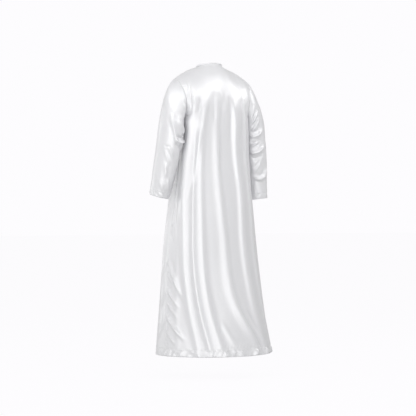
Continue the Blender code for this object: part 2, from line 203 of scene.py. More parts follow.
def share_normals(grids: Sequence[Grid], normals: Sequence[Grid]) -> list[Grid]:
    """Gives points of different grids that coincide one normal, from each different normal there."""
    points = np.concatenate([grid.reshape(-1, 3) for grid in grids])
    flat = np.concatenate([normal.reshape(-1, 3) for normal in normals])
    _, place = np.unique(np.round(points, 6), axis=0, return_inverse=True)
    place = place.reshape(-1)
    both = np.round(np.column_stack([place, flat]), 6)
    _, different = np.unique(both, axis=0, return_index=True)
    total = np.zeros((place.max() + 1, 3))
    np.add.at(total, place[different], flat[different])
    shared = unit(total[place])
    ends = np.cumsum([grid.shape[0] * grid.shape[1] for grid in grids])[:-1]
    return [part.reshape(grid.shape) for part, grid in zip(np.split(shared, ends), grids)]


@dataclass
class RobeForm:
    """The form on which the robe is worn: its sections, its yoke and its sleeves."""

    hem_drop: float = 1.430
    underarm_drop: float = 0.265
    hem_height: float = 0.038
    cuff_height: float = 0.027
    shoulder_share: float = 0.30
    neck_half_width: float = 0.066
    neck_side_height: float = 0.004
    shoulders: Table = Table(
        ("side", "out", "drop", "bend_out", "bend_drop"),
        ((-1.0, 0.206, 0.054, 0.146, 0.010), (1.0, 0.197, 0.060, 0.140, 0.016)),
    )
    neck: Table = Table(
        ("panel", "depth", "rise", "scoop", "columns"),
        ((-1.0, 0.068, -0.048, 1.4, 14.0), (1.0, 0.058, 0.012, 1.0, 16.0)),
    )
    sections: Table = Table(
        ("drop", "half_width", "depth_back", "depth_front", "squareness", "turn", "slide", "dent"),
        (
            (0.265, 0.191, 0.148, 0.132, 3.0, 0.0, 0.000, 0.100),
            (0.450, 0.190, 0.149, 0.137, 2.8, 0.0, 0.002, 0.095),
            (0.660, 0.211, 0.168, 0.156, 2.5, -2.0, 0.005, 0.050),
            (0.910, 0.237, 0.182, 0.168, 2.3, -7.0, 0.004, 0.000),
            (1.160, 0.258, 0.199, 0.185, 2.2, -17.0, 0.012, 0.000),
            (1.430, 0.288, 0.215, 0.195, 2.1, -29.0, 0.024, 0.000),
        ),
    )
    slide_way: tuple[float, float] = (-0.87, 0.5)
    dent_back: float = 0.008
    dent_reach: float = 0.065
    hem_lift: Table = Table(
        ("share", "back", "front"),
        (
            (0.00, 0.000, 0.000),
            (0.30, 0.000, 0.000),
            (0.55, 0.004, 0.000),
            (0.75, 0.010, 0.006),
            (1.00, 0.012, 0.012),
        ),
    )
    hem_lift_height: float = 0.35
    yoke_back: Table = Table(
        ("share", "top_in", "top_out", "top_fall", "low_out", "low_rise"),
        (
            (0.00, 0.010, 0.080, 0.012, 0.160, 0.025),
            (0.05, 0.006, 0.077, 0.009, 0.158, 0.035),
            (0.10, 0.003, 0.072, 0.008, 0.120, 0.055),
            (0.16, -0.004, 0.066, 0.008, 0.065, 0.090),
            (0.22, -0.014, 0.058, 0.009, 0.030, 0.115),
            (0.30, -0.028, 0.052, 0.014, 0.014, 0.125),
            (0.40, -0.022, 0.046, 0.026, 0.008, 0.125),
            (0.50, 0.000, 0.044, 0.034, 0.006, 0.125),
        ),
    )
    yoke_front: Table = Table(
        ("share", "top_in", "top_out", "top_fall", "low_out", "low_rise"),
        (
            (0.00, 0.013, 0.064, 0.014, 0.120, 0.025),
            (0.05, 0.009, 0.062, 0.013, 0.118, 0.035),
            (0.10, 0.004, 0.058, 0.012, 0.085, 0.060),
            (0.16, -0.003, 0.054, 0.012, 0.040, 0.090),
            (0.22, -0.012, 0.048, 0.014, 0.018, 0.105),
            (0.30, -0.024, 0.042, 0.022, 0.010, 0.110),
            (0.40, -0.018, 0.036, 0.036, 0.008, 0.105),
            (0.50, 0.000, 0.034, 0.044, 0.006, 0.100),
        ),
    )
    side_columns: int = 9
    yoke_rows: int = 12
    skirt_rows: int = 20
    easing: int = 10
    ring_samples: int = 241

    def shares(self, panel: Panel) -> Grid:
        """Where the panel's columns stand, from the left side seam, 0, to the right one, 1."""
        columns = round(self.neck.size("columns", panel.value))
        shoulder = np.linspace(0, self.shoulder_share, self.side_columns + 1)
        neck = np.linspace(self.shoulder_share, 1 - self.shoulder_share, columns + 1)
        return np.concatenate([shoulder[:-1], neck, 1 - shoulder[::-1][1:]])

    def ring(self, panel: Panel, drop: float, shares: Grid) -> Grid:
        """Half of the body's cross-section, from the left side seam to the right one."""
        size = {name: self.sections.size(name, drop) for name in self.sections.names[1:]}
        turn, n = math.radians(size["turn"]), size["squareness"]
        angle = np.linspace(0, math.pi, self.ring_samples) * panel.value
        across, deep = np.cos(angle - turn), np.sin(angle - turn)
        depth = np.where(deep > 0, size["depth_back"], size["depth_front"])
        radius = (np.abs(across / size["half_width"]) ** n + np.abs(deep / depth) ** n) ** (-1 / n)
        x, y = radius * np.cos(angle), radius * np.sin(angle)
        x *= 1 - size["dent"] * np.exp(-(((y - self.dent_back) / self.dent_reach) ** 2))
        x, y = x + self.slide_way[0] * size["slide"], y + self.slide_way[1] * size["slide"]
        way = np.concatenate([[0.0], np.cumsum(np.hypot(np.diff(x), np.diff(y)))])
        at = shares * way[-1]
        return np.stack([np.interp(at, way, x), np.interp(at, way, y), np.full(len(shares), -drop)], 1)

    def top_edge(self, panel: Panel, shares: Grid) -> Grid:
        """The shoulder seams and, between them, the neck seam."""
        inward = np.minimum(shares, 1 - shares)
        left = np.where(shares <= 0.5, 1.0, -1.0)
        t = np.clip(inward / self.shoulder_share, 0, 1)
        out, drop, bend_out, bend_drop = (
            self.shoulders.through(name, left) for name in self.shoulders.names[1:]
        )
        x = (1 - t) ** 2 * out + 2 * t * (1 - t) * bend_out + t**2 * self.neck_half_width
        z = t**2 * self.neck_side_height - (1 - t) ** 2 * drop - 2 * t * (1 - t) * bend_drop
        part = np.clip((inward - self.shoulder_share) / (0.5 - self.shoulder_share), 0, 1)
        turn = part * math.pi / 2
        on_neck = inward > self.shoulder_share
        depth, rise, scoop = (self.neck.size(name, panel.value) for name in ("depth", "rise", "scoop"))
        x = np.where(on_neck, self.neck_half_width * np.cos(turn), x)
        y = np.where(on_neck, depth * np.sin(turn), 0.0)
        z = np.where(on_neck, self.neck_side_height + rise * np.sin(turn) ** scoop, z)
        return np.stack([left * x, panel.value * y, z], 1)

    def coarse(self, panel: Panel) -> Grid:
        """The panel's main points, rows from its top edge to the hem and columns from left to right."""
        shares = self.shares(panel)
        yoke = self.yoke_back if panel is Panel.BACK else self.yoke_front
        shape = {name: yoke.through(name, np.minimum(shares, 1 - shares)) for name in yoke.names[1:]}
        left, side = np.where(shares <= 0.5, 1.0, -1.0), panel.value
        top, low = self.top_edge(panel, shares), self.ring(panel, self.underarm_drop, shares)
        leave = top + np.stack([-left * shape["top_in"], side * shape["top_out"], -shape["top_fall"]], 1)
        arrive = low + np.stack([0 * left, side * shape["low_out"], shape["low_rise"]], 1)
        rows = []
        for t in np.linspace(0, 1, self.yoke_rows + 1)[:-1]:
            s = 1 - t
            rows.append(s**3 * top + 3 * s * s * t * leave + 3 * s * t * t * arrive + t**3 * low)
        drops = np.linspace(self.underarm_drop, self.hem_drop - self.hem_height, self.skirt_rows)
        rows += [self.ring(panel, drop, shares) for drop in np.append(drops, self.hem_drop)]
        net = np.array(rows)
        for _ in range(self.easing):
            beside = (net[1 : self.yoke_rows, :-2] + net[1 : self.yoke_rows, 2:]) / 2
            net[1 : self.yoke_rows, 1:-1] = (net[1 : self.yoke_rows, 1:-1] + beside) / 2
        lift = np.interp(shares, self.hem_lift.column("share"), self.hem_lift.column(panel.name.lower()))
        height = self.hem_lift_height
        net[:, :, 2] += lift * ease((height - self.hem_drop - net[:, :, 2]) / height)
        return net


@dataclass
class FineForm:
    """The robe's form on a fine grid, with the same edges on panels and sleeves that meet."""

    form: RobeForm = field(default_factory=RobeForm)
    seam_cells: int = 2
    seam_parts: int = 7
    column_parts: int = 4
    yoke_parts: int = 6
    skirt_parts: int = 13
    hem_parts: int = 8

    def __post_init__(self) -> None:
        """Works out both panels."""
        coarse = {panel: self.form.coarse(panel) for panel in Panel}
        steps = [np.linalg.norm(np.diff(net, axis=0), axis=2).mean(axis=1) for net in coarse.values()]
        knots = np.append(0.0, np.cumsum(np.mean(steps, axis=0)))
        parts = [self.yoke_parts] * self.form.yoke_rows
        parts += [self.skirt_parts] * (self.form.skirt_rows - 1) + [self.hem_parts]
        self.down = subdivided(knots, parts)
        self.hem_row = len(self.down) - 1 - self.hem_parts
        self.underarm_row = self.form.yoke_rows * self.yoke_parts
        self.points = {panel: self._refined(panel, net, knots) for panel, net in coarse.items()}
        rough = [normals_of(self.points[panel], panel.value) for panel in Panel]
        shared = share_normals([self.points[panel] for panel in Panel], rough)
        self.normals = dict(zip(Panel, shared))

    def shares(self, panel: Panel) -> Grid:
        """The fine columns' shares."""
        knots = self.form.shares(panel)
        parts = [self.column_parts] * (len(knots) - 1)
        parts[: self.seam_cells] = parts[-self.seam_cells :] = [self.seam_parts] * self.seam_cells
        return subdivided(knots, parts)

    def _refined(self, panel: Panel, net: Grid, knots: Grid) -> Grid:
        """A fine grid through a panel's main points, with the neck's corners kept in its top row."""
        places, values = self.form.shares(panel), net.transpose(1, 0, 2)
        leave = np.gradient(values, places, axis=0)
        arrive = leave.copy()
        for corner in (self.form.side_columns, len(places) - 1 - self.form.side_columns):
            for slopes, beside in ((leave, corner + 1), (arrive, corner - 1)):
                run = places[beside] - places[corner]
                slopes[corner, 0] = (values[beside, 0] - values[corner, 0]) / run
        wide = smooth_through(places, values, self.shares(panel), leave, arrive)
        return smooth_through(knots, wide.transpose(1, 0, 2), self.down)

    def net(self, panel: Panel) -> ClothNet:
        """One panel."""
        points = self.points[panel]
        girth = np.linalg.norm(np.diff(points, axis=1), axis=2).sum(axis=1)
        return ClothNet(points, self.normals[panel], self.shares(panel), self.down, girth)

    def armhole(self, side: Side) -> Grid:
        """The armhole's points, from the shoulder down the back, round the underarm and up the front."""
        edge = 0 if side is Side.LEFT else -1
        back, front = (self.points[panel][: self.underarm_row + 1, edge] for panel in Panel)
        return np.concatenate([back, front[::-1][1:-1]])


@dataclass(frozen=True)
class Crease:
    """A soft ridge, or a trough where its height is negative, along a bowed line in the cloth."""

    across_a: float
    drop_a: float
    across_b: float
    drop_b: float
    height: float
    half_width: float
    bow: float = 0.0
    lean: float = 0.0
    soft_a: float = 0.35
    soft_b: float = 0.35

    def lift(self, net: ClothNet) -> Grid:
        """How far it lifts each point of a net."""
        middle = (self.across_a + self.across_b) / 2
        away = net.across - middle
        if net.closed:
            away = (away + 0.5) % 1.0 - 0.5
        drops = net.drop.mean(axis=1)
        girth = float(np.interp((self.drop_a + self.drop_b) / 2, drops, net.girth))
        x = away[None, :] * net.girth[:, None]
        xa, xb = (self.across_a - middle) * girth, (self.across_b - middle) * girth
        dx, dv = xb - xa, self.drop_b - self.drop_a
        length = math.hypot(dx, dv)
        t = ((x - xa) * dx + (net.drop - self.drop_a) * dv) / length**2
        d = ((x - xa) * dv - (net.drop - self.drop_a) * dx) / length
        inside = np.clip(t, 0, 1)
        d = d - self.bow * 4 * inside * (1 - inside)
        width = self.half_width * np.where(d > 0, 1 + self.lean, 1 - self.lean)
        fade = ease(t / self.soft_a) * ease((1 - t) / self.soft_b)
        return self.height * np.exp(-((d / width) ** 2)) * fade


@dataclass(frozen=True)
class LongFold:
    """A fold that runs down a panel, soft or, for a sharp one, meeting its neighbours in a V.

    Shares and heights are given at FOLD_DROPS.
    """

    shares: tuple[float, ...]
    heights: tuple[float, ...]
    half_width: float
    lean: float = 0.0
    sharp: bool = False

    def lift(self, net: ClothNet) -> Grid:
        """How far it lifts each point of a net."""
        drops = np.array(FOLD_DROPS)
        drop = np.clip(net.drop, drops[0] - FOLD_RUN_UP, drops[-1])
        flat = drop.reshape(-1)
        middle = smooth_through(drops, np.array(self.shares), flat).reshape(drop.shape)
        height = smooth_through(drops, np.array(self.heights), flat).reshape(drop.shape)
        d = net.across[None, :] - middle
        width = self.half_width * np.where(d > 0, 1 + self.lean, 1 - self.lean)
        fade = ease((net.drop - drops[0] + FOLD_FADE / 2) / FOLD_FADE)
        if self.sharp:
            return height * fade * np.maximum(1 - np.abs(d / width), 0.0) ** SHARP_POWER
        # The ridge's mean over the panel comes off, so that folds leave its middle level where it is.
        level = self.half_width * math.sqrt(math.pi)
        return height * fade * (np.exp(-((d / width) ** 2)) - level)


def ripple(at: Grid, length: float, seed: int, waves: int = 4) -> Grid:
    """An uneven wave of height about 1.

    Args:
        at: Where to read it, in metres.
        length: Its usual wave length.
        seed: Picks the wave.
        waves: How many plain waves it is mixed from.

    Returns:
        The wave's height at each place.
    """
    draw = random.Random(seed)
    total = np.zeros_like(at)
    for _ in range(waves):
        own = length * draw.uniform(0.65, 1.6)
        total += np.sin(2 * math.pi * (at / own + draw.random())) * draw.uniform(0.5, 1.0)
    return total / math.sqrt(waves)


FOLD_DROPS = (0.15, 0.26, 0.40, 0.55, 0.85, 1.15, 1.43)
FOLD_RUN_UP = 0.08
FOLD_FADE = 0.12
SHARP_POWER = 1.5
HEM_PATCH_DROPS = (1.394, 1.438)


def creases(*rows: tuple[float, ...]) -> tuple[Crease, ...]:
    """Creases from rows of numbers in the order of a crease's fields."""
    return tuple(Crease(*row) for row in rows)


def hem_patch(above: float, below: float, height: float, half_width: float) -> tuple[float, ...]:
    """The row of a short crease across the hem's band, from a share above it to a share at its edge."""
    high, low = HEM_PATCH_DROPS
    return (above, high, below, low, height, half_width, 0.0, 0.0, 0.12, 0.05)


LONG_FOLDS = {
    Panel.BACK: (
        LongFold(
            (0.090, 0.090, 0.090, 0.090, 0.095, 0.085, 0.080),
            (0.000, 0.000, 0.001, 0.002, 0.004, 0.004, 0.003),
            0.022,
        ),
        LongFold(
            (0.225, 0.186, 0.163, 0.150, 0.150, 0.178, 0.235),
            (0.006, 0.008, 0.010, 0.011, 0.013, 0.013, 0.010),
            0.034,
            0.20,
        ),
        LongFold(
            (0.350, 0.306, 0.280, 0.270, 0.287, 0.307, 0.375),
            (0.010, 0.010, 0.009, 0.009, 0.011, 0.012, 0.011),
            0.036,
            -0.20,
        ),
        LongFold(
            (0.440, 0.430, 0.430, 0.432, 0.470, 0.495, 0.645),
            (0.003, 0.006, 0.009, 0.010, 0.009, 0.010, 0.009),
            0.032,
            -0.20,
        ),
        LongFold(
            (0.590, 0.615, 0.615, 0.628, 0.622, 0.635, 0.690),
            (0.008, 0.012, 0.013, 0.013, 0.013, 0.013, 0.010),
            0.040,
            0.35,
        ),
        LongFold(
            (0.745, 0.745, 0.750, 0.755, 0.750, 0.760, 0.800),
            (0.004, 0.007, 0.007, 0.006, 0.006, 0.006, 0.006),
            0.024,
            0.20,
        ),
        LongFold(
            (0.880, 0.880, 0.870, 0.870, 0.860, 0.860, 0.900),
            (0.000, 0.002, 0.005, 0.006, 0.006, 0.006, 0.005),
            0.030,
        ),
        LongFold(
            (0.240, 0.240, 0.222, 0.210, 0.220, 0.243, 0.305),
            (0.000, 0.000, -0.004, -0.007, -0.009, -0.009, -0.007),
            0.032,
            sharp=True,
        ),
    ),
    Panel.FRONT: (
        LongFold(
            (0.120, 0.120, 0.115, 0.110, 0.105, 0.100, 0.095),
            (0.0007, 0.0027, 0.0041, 0.0041, 0.0041, 0.0041, 0.0034),
            0.022,
        ),
        LongFold(
            (0.250, 0.240, 0.225, 0.215, 0.205, 0.195, 0.185),
            (0.0020, 0.0048, 0.0061, 0.0061, 0.0061, 0.0061, 0.0048),
            0.030,
            0.2,
        ),
        LongFold(
            (0.350, 0.355, 0.350, 0.345, 0.350, 0.335, 0.325),
            (0.0014, 0.0034, 0.0054, 0.0068, 0.0068, 0.0068, 0.0054),
            0.034,
            -0.2,
        ),
        LongFold(
            (0.450, 0.455, 0.465, 0.470, 0.485, 0.495, 0.470),
            (0.0000, 0.0000, 0.0020, 0.0041, 0.0048, 0.0054, 0.0048),
            0.026,
            0.1,
        ),
        LongFold(
            (0.600, 0.600, 0.605, 0.600, 0.610, 0.630, 0.650),
            (0.0007, 0.0027, 0.0048, 0.0061, 0.0068, 0.0068, 0.0054),
            0.036,
            0.2,
        ),
        LongFold(
            (0.730, 0.735, 0.740, 0.750, 0.750, 0.765, 0.790),
            (0.0020, 0.0048, 0.0061, 0.0054, 0.0048, 0.0054, 0.0048),
            0.028,
            -0.2,
        ),
        LongFold(
            (0.880, 0.880, 0.880, 0.885, 0.890, 0.900, 0.905),
            (0.0007, 0.0027, 0.0041, 0.0041, 0.0041, 0.0048, 0.0041),
            0.024,
        ),
    ),
}

PANEL_CREASES = {
    Panel.BACK: creases(
        (0.225, 0.110, 0.150, 0.250, 0.0034, 0.0070),
        (0.175, 0.100, 0.130, 0.225, -0.0026, 0.0055),
        (0.130, 0.090, 0.110, 0.190, 0.0026, 0.0050),
        (0.083, 0.080, 0.050, 0.170, 0.0026, 0.0050),
        (0.280, 0.280, 0.165, 0.680, 0.0060, 0.0095, 0.004, 0.0, 0.20, 0.30),
        (0.290, 0.115, 0.245, 0.330, -0.0030, 0.0085),
        (0.420, 0.100, 0.400, 0.300, -0.0034, 0.0080),
        (0.462, 0.095, 0.500, 0.190, 0.0026, 0.0065),
        (0.500, 0.120, 0.470, 0.300, -0.0026, 0.0085),
        (0.560, 0.110, 0.520, 0.240, 0.0026, 0.0070),
        (0.590, 0.120, 0.560, 0.400, -0.0030, 0.0100),
        (0.700, 0.120, 0.705, 0.360, -0.0030, 0.0100),
        (0.810, 0.120, 0.830, 0.300, 0.0028, 0.0065),
        (0.112, 0.325, 0.125, 0.900, 0.0180, 0.0270, 0.0, 0.0, 0.25, 0.50),
        (0.880, 0.180, 0.880, 0.640, 0.0100, 0.0420),
        (0.870, 0.110, 0.900, 0.230, 0.0022, 0.008),
        (0.700, 0.170, 0.690, 0.330, 0.0022, 0.011),
        (0.035, 0.560, 0.112, 0.850, 0.0040, 0.012),
        (0.006, 0.930, 0.160, 1.175, 0.0112, 0.0095, -0.006, 0.2, 0.18, 0.55),
        (0.006, 1.010, 0.070, 1.085, 0.0062, 0.0062, -0.002, 0.2, 0.18, 0.55),
        (0.006, 1.090, 0.120, 1.200, 0.0096, 0.0080, -0.004, 0.2, 0.18, 0.55),
        (0.006, 1.160, 0.100, 1.245, 0.0078, 0.0070, -0.003, 0.2, 0.18, 0.55),
        (0.006, 1.225, 0.150, 1.360, 0.0118, 0.0092, -0.005, 0.2, 0.18, 0.50),
        (0.006, 1.305, 0.080, 1.380, 0.0074, 0.0070, -0.003, 0.2, 0.18, 0.50),
        (0.006, 0.770, 0.080, 0.900, 0.0060, 0.0080, -0.003, 0.2, 0.18, 0.55),
        (0.990, 0.960, 0.870, 1.120, 0.0040, 0.013, 0.004, -0.2, 0.10, 0.55),
        (0.990, 1.120, 0.890, 1.230, 0.0044, 0.012, 0.004, -0.2, 0.10, 0.55),
        (0.990, 1.240, 0.860, 1.370, 0.0050, 0.013, 0.004, -0.2, 0.10, 0.50),
        (0.480, 1.150, 0.650, 1.390, 0.0040, 0.016, -0.006),
        (0.560, 1.180, 0.700, 1.390, 0.0034, 0.013, -0.004),
        (0.380, 1.240, 0.480, 1.395, 0.0030, 0.014, -0.004),
        hem_patch(0.030, 0.018, 0.0056, 0.0080),
        hem_patch(0.068, 0.050, 0.0058, 0.0080),
        hem_patch(0.122, 0.098, 0.0050, 0.0090),
        hem_patch(0.182, 0.150, 0.0044, 0.0100),
        hem_patch(0.212, 0.232, 0.0036, 0.0070),
        hem_patch(0.338, 0.308, 0.0046, 0.0085),
        hem_patch(0.385, 0.365, -0.0030, 0.0080),
        hem_patch(0.455, 0.425, 0.0050, 0.0085),
        hem_patch(0.612, 0.580, 0.0060, 0.0090),
        hem_patch(0.690, 0.672, 0.0060, 0.0080),
    ),
    Panel.FRONT: creases(
        (0.135, 0.130, 0.165, 0.290, 0.0028, 0.010),
        (0.060, 0.100, 0.045, 0.200, 0.0022, 0.008),
        (0.865, 0.130, 0.835, 0.290, 0.0028, 0.010),
        (0.940, 0.100, 0.955, 0.200, 0.0022, 0.008),
        (0.270, 0.140, 0.240, 0.330, 0.0030, 0.014),
        (0.730, 0.140, 0.760, 0.330, 0.0030, 0.014),
        (0.010, 0.960, 0.130, 1.120, 0.0040, 0.013, -0.004, 0.2, 0.10, 0.55),
        (0.010, 1.110, 0.110, 1.210, 0.0044, 0.012, -0.004, 0.2, 0.10, 0.55),
        (0.010, 1.240, 0.140, 1.370, 0.0052, 0.013, -0.004, 0.2, 0.10, 0.50),
        (0.990, 0.900, 0.880, 1.060, 0.0042, 0.013, 0.004, -0.2, 0.10, 0.55),
        (0.990, 1.080, 0.880, 1.190, 0.0044, 0.012, 0.004, -0.2, 0.10, 0.55),
        (0.990, 1.220, 0.850, 1.360, 0.0052, 0.014, 0.004, -0.2, 0.10, 0.50),
        (0.420, 1.180, 0.340, 1.390, 0.0034, 0.016, 0.004),
        (0.600, 1.160, 0.680, 1.390, 0.0034, 0.016, -0.004),
        (0.120, 0.180, 0.260, 0.400, 0.0044, 0.0120, -0.006),
        (0.100, 0.220, 0.200, 0.420, -0.0030, 0.0100, -0.004),
        (0.880, 0.190, 0.750, 0.380, 0.0044, 0.0120, 0.006),
        (0.905, 0.230, 0.800, 0.430, -0.0030, 0.0100, 0.004),
        (0.300, 0.120, 0.330, 0.300, 0.0026, 0.0120),
        (0.700, 0.110, 0.655, 0.290, 0.0026, 0.0120),
        (0.280, 0.600, 0.260, 1.200, -0.0034, 0.0130),
        (0.545, 0.500, 0.560, 1.300, -0.0036, 0.0140),
        (0.680, 0.700, 0.700, 1.390, -0.0034, 0.0140),
    ),
}

SLEEVE_CREASES = {
    Side.LEFT: creases(
        (0.112, 0.225, 0.262, 0.388, 0.0066, 0.0078, -0.002, 0.0, 0.40, 0.12),
        (0.092, 0.250, 0.225, 0.378, -0.0032, 0.0085, -0.002),
        (0.170, 0.240, 0.385, 0.338, 0.0048, 0.0085, 0.003, 0.0, 0.45, 0.15),
        (0.240, 0.352, 0.385, 0.350, -0.0055, 0.0110, -0.004, 0.0, 0.30, 0.20),
        (0.195, 0.355, 0.405, 0.366, 0.0095, 0.0075, -0.020, 0.0, 0.15, 0.12),
        (0.215, 0.342, 0.395, 0.345, -0.0045, 0.0090, -0.014, 0.0, 0.25, 0.15),
        (0.215, 0.376, 0.405, 0.386, -0.0040, 0.0065, -0.020, 0.0, 0.25, 0.15),
        (0.085, 0.396, 0.205, 0.402, -0.0030, 0.0060),
        (0.145, 0.398, 0.266, 0.480, 0.0050, 0.0068, 0.002, 0.0, 0.20, 0.55),
        (0.100, 0.405, 0.190, 0.490, 0.0038, 0.0065, 0.002, 0.0, 0.25, 0.55),
        (0.290, 0.405, 0.350, 0.480, 0.0034, 0.0080),
        (0.200, 0.470, 0.250, 0.560, -0.0032, 0.0120),
        (0.145, 0.475, 0.200, 0.560, 0.0034, 0.0075),
        (0.095, 0.555, 0.218, 0.632, 0.0045, 0.0080, 0.002),
        (0.225, 0.550, 0.280, 0.620, 0.0034, 0.0075),
        (0.128, 0.098, 0.310, 0.195, 0.0042, 0.0042),
        (0.150, 0.104, 0.330, 0.205, -0.0036, 0.0034),
        (0.200, 0.172, 0.410, 0.244, 0.0056, 0.0052),
        (0.225, 0.170, 0.425, 0.236, -0.0046, 0.0042),
        (0.300, 0.222, 0.425, 0.264, 0.0032, 0.0052),
        (0.020, 0.280, 0.030, 0.600, 0.0030, 0.0120),
        (0.640, 0.300, 0.900, 0.345, 0.0040, 0.0120, 0.006),
        (0.600, 0.395, 0.860, 0.420, 0.0045, 0.0110, 0.006),
        (0.650, 0.460, 0.850, 0.520, 0.0034, 0.0110, 0.004),
        (0.700, 0.180, 0.640, 0.290, 0.0030, 0.0100),
        (0.800, 0.540, 0.900, 0.620, 0.0028, 0.0100),
    ),
    Side.RIGHT: creases(
        (0.330, 0.245, 0.222, 0.172, 0.0061, 0.0048, 0.001),
        (0.345, 0.262, 0.235, 0.190, -0.0038, 0.0042, 0.001),
        (0.360, 0.280, 0.200, 0.205, 0.0072, 0.0055, 0.002),
        (0.372, 0.302, 0.215, 0.225, -0.0039, 0.0050, 0.002),
        (0.385, 0.328, 0.205, 0.240, 0.0065, 0.0062, 0.003),
        (0.400, 0.340, 0.205, 0.292, 0.0101, 0.0078, 0.020, 0.0, 0.18, 0.30),
        (0.395, 0.318, 0.230, 0.285, -0.0047, 0.0070, 0.014),
        (0.405, 0.372, 0.235, 0.352, -0.0060, 0.0070, 0.008),
        (0.405, 0.402, 0.262, 0.356, 0.0065, 0.0058, 0.002, 0.0, 0.20, 0.35),
        (0.410, 0.424, 0.185, 0.374, 0.0111, 0.0080, 0.018, 0.0, 0.18, 0.30),
        (0.410, 0.398, 0.220, 0.356, -0.0044, 0.0065, 0.010),
        (0.405, 0.452, 0.200, 0.410, -0.0052, 0.0095, 0.016),
        (0.385, 0.540, 0.205, 0.420, 0.0044, 0.0070, 0.004),
        (0.370, 0.505, 0.230, 0.440, -0.0036, 0.0080, 0.004),
        (0.390, 0.552, 0.155, 0.480, 0.0097, 0.0100, 0.034, 0.0, 0.22, 0.30),
        (0.370, 0.530, 0.190, 0.480, -0.0039, 0.0090, 0.026),
        (0.140, 0.330, 0.120, 0.600, 0.0030, 0.0120),
        (0.060, 0.140, 0.075, 0.330, 0.0030, 0.0140),
        (0.150, 0.150, 0.190, 0.240, -0.0022, 0.0060),
        (0.640, 0.310, 0.900, 0.355, 0.0040, 0.0120, 0.006),
        (0.600, 0.400, 0.860, 0.430, 0.0045, 0.0110, 0.006),
        (0.650, 0.470, 0.850, 0.530, 0.0034, 0.0110, 0.004),
        (0.700, 0.190, 0.640, 0.300, 0.0030, 0.0100),
        (0.800, 0.550, 0.900, 0.630, 0.0028, 0.0100),
    ),
}


@dataclass
class Cloth:
    """What all of the robe's cloth shares: its wall, its seams and how it puckers along them."""

    wall: float = 0.0008
    seam_gap: float = 0.00008
    seam_dip: float = 0.0006
    seam_reach: float = 0.0028
    pucker: float = 0.0005
    pucker_length: float = 0.016
    pucker_reach: float = 0.014
    stitch_height: float = 0.0355
    cuff_stitch_height: float = 0.0265
    turnup_gap: float = 0.0003
    turnup_wall: float = 0.0007
    hem_dip: float = 0.0010
    hem_dip_reach: float = 0.0030
    hem_roll: float = 0.0011
    hem_roll_place: float = 0.0048
    hem_roll_reach: float = 0.0024
    hem_slant: float = 0.0030
    hem_pucker: float = 0.0009

    def seam_relief(self, along: Grid, away: Grid, seed: int, strength: float = 1.0) -> Grid:
        """The dip and the puckers beside a seam.

        Args:
            along: Each point's distance along the seam.
            away: Its distance from the seam.
            seed: Picks the puckers.
            strength: Scales the puckers.

        Returns:
            How far each point is lifted.
        """
        dip = -self.seam_dip * np.exp(-((away / self.seam_reach) ** 2))
        wave = ripple(along - 0.5 * away, self.pucker_length, seed)
        size = 0.6 + 0.4 * ripple(along, 0.11, seed + 50, 3)
        reach = np.exp(-((away / self.pucker_reach) ** 2)) * ease(away / 0.003)
        return dip + strength * self.pucker * size * wave * reach

    def hem_relief(self, across: Grid, height: Grid, stitched: float, seed: int) -> Grid:
        """The dip of a hem's stitch line and the puckers on both sides of it.

        Args:
            across: Each point's distance round the hem.
            height: Its height above the hem's edge.
            stitched: The stitch line's height.
            seed: Picks the puckers.

        Returns:
            How far each point is lifted.
        """
        dip = -self.hem_dip * np.exp(-(((height - stitched) / self.hem_dip_reach) ** 2))
        band = ease(height / 0.006) * ease((stitched - height) / 0.008)
        slanted = ripple(across + 0.8 * height, 0.050, seed)
        above = ease((height - stitched) / 0.006) * np.exp(-(((height - stitched) / 0.020) ** 2))
        small = ripple(across - 0.4 * height, 0.018, seed + 1)
        rolled = (height - stitched - self.hem_roll_place) / self.hem_roll_reach
        roll = self.hem_roll * np.exp(-(rolled**2))
        puckers = self.hem_pucker * small * (above + 0.5 * band)
        return dip + roll + self.hem_slant * band * slanted + puckers


def put(node: bpy.types.Node, values: dict[str, object]) -> None:
    """Sets constant values on a node's sockets, by the sockets' names."""
    for name, value in values.items():
        node.inputs[name].default_value = value


def wire(start: bpy.types.Node, out: str | int, end: bpy.types.Node, into: str | int) -> None:
    """Links an output of one node to an input of another."""
    start.id_data.links.new(start.outputs[out], end.inputs[into])


def new_finish(name: str) -> tuple[bpy.types.Material, bpy.types.NodeTree, bpy.types.Node]:
    """A new material, with its tree and its shader."""
    made = bpy.data.materials.new(name)
    made.use_nodes = True
    return made, made.node_tree, made.node_tree.nodes["Principled BSDF"]


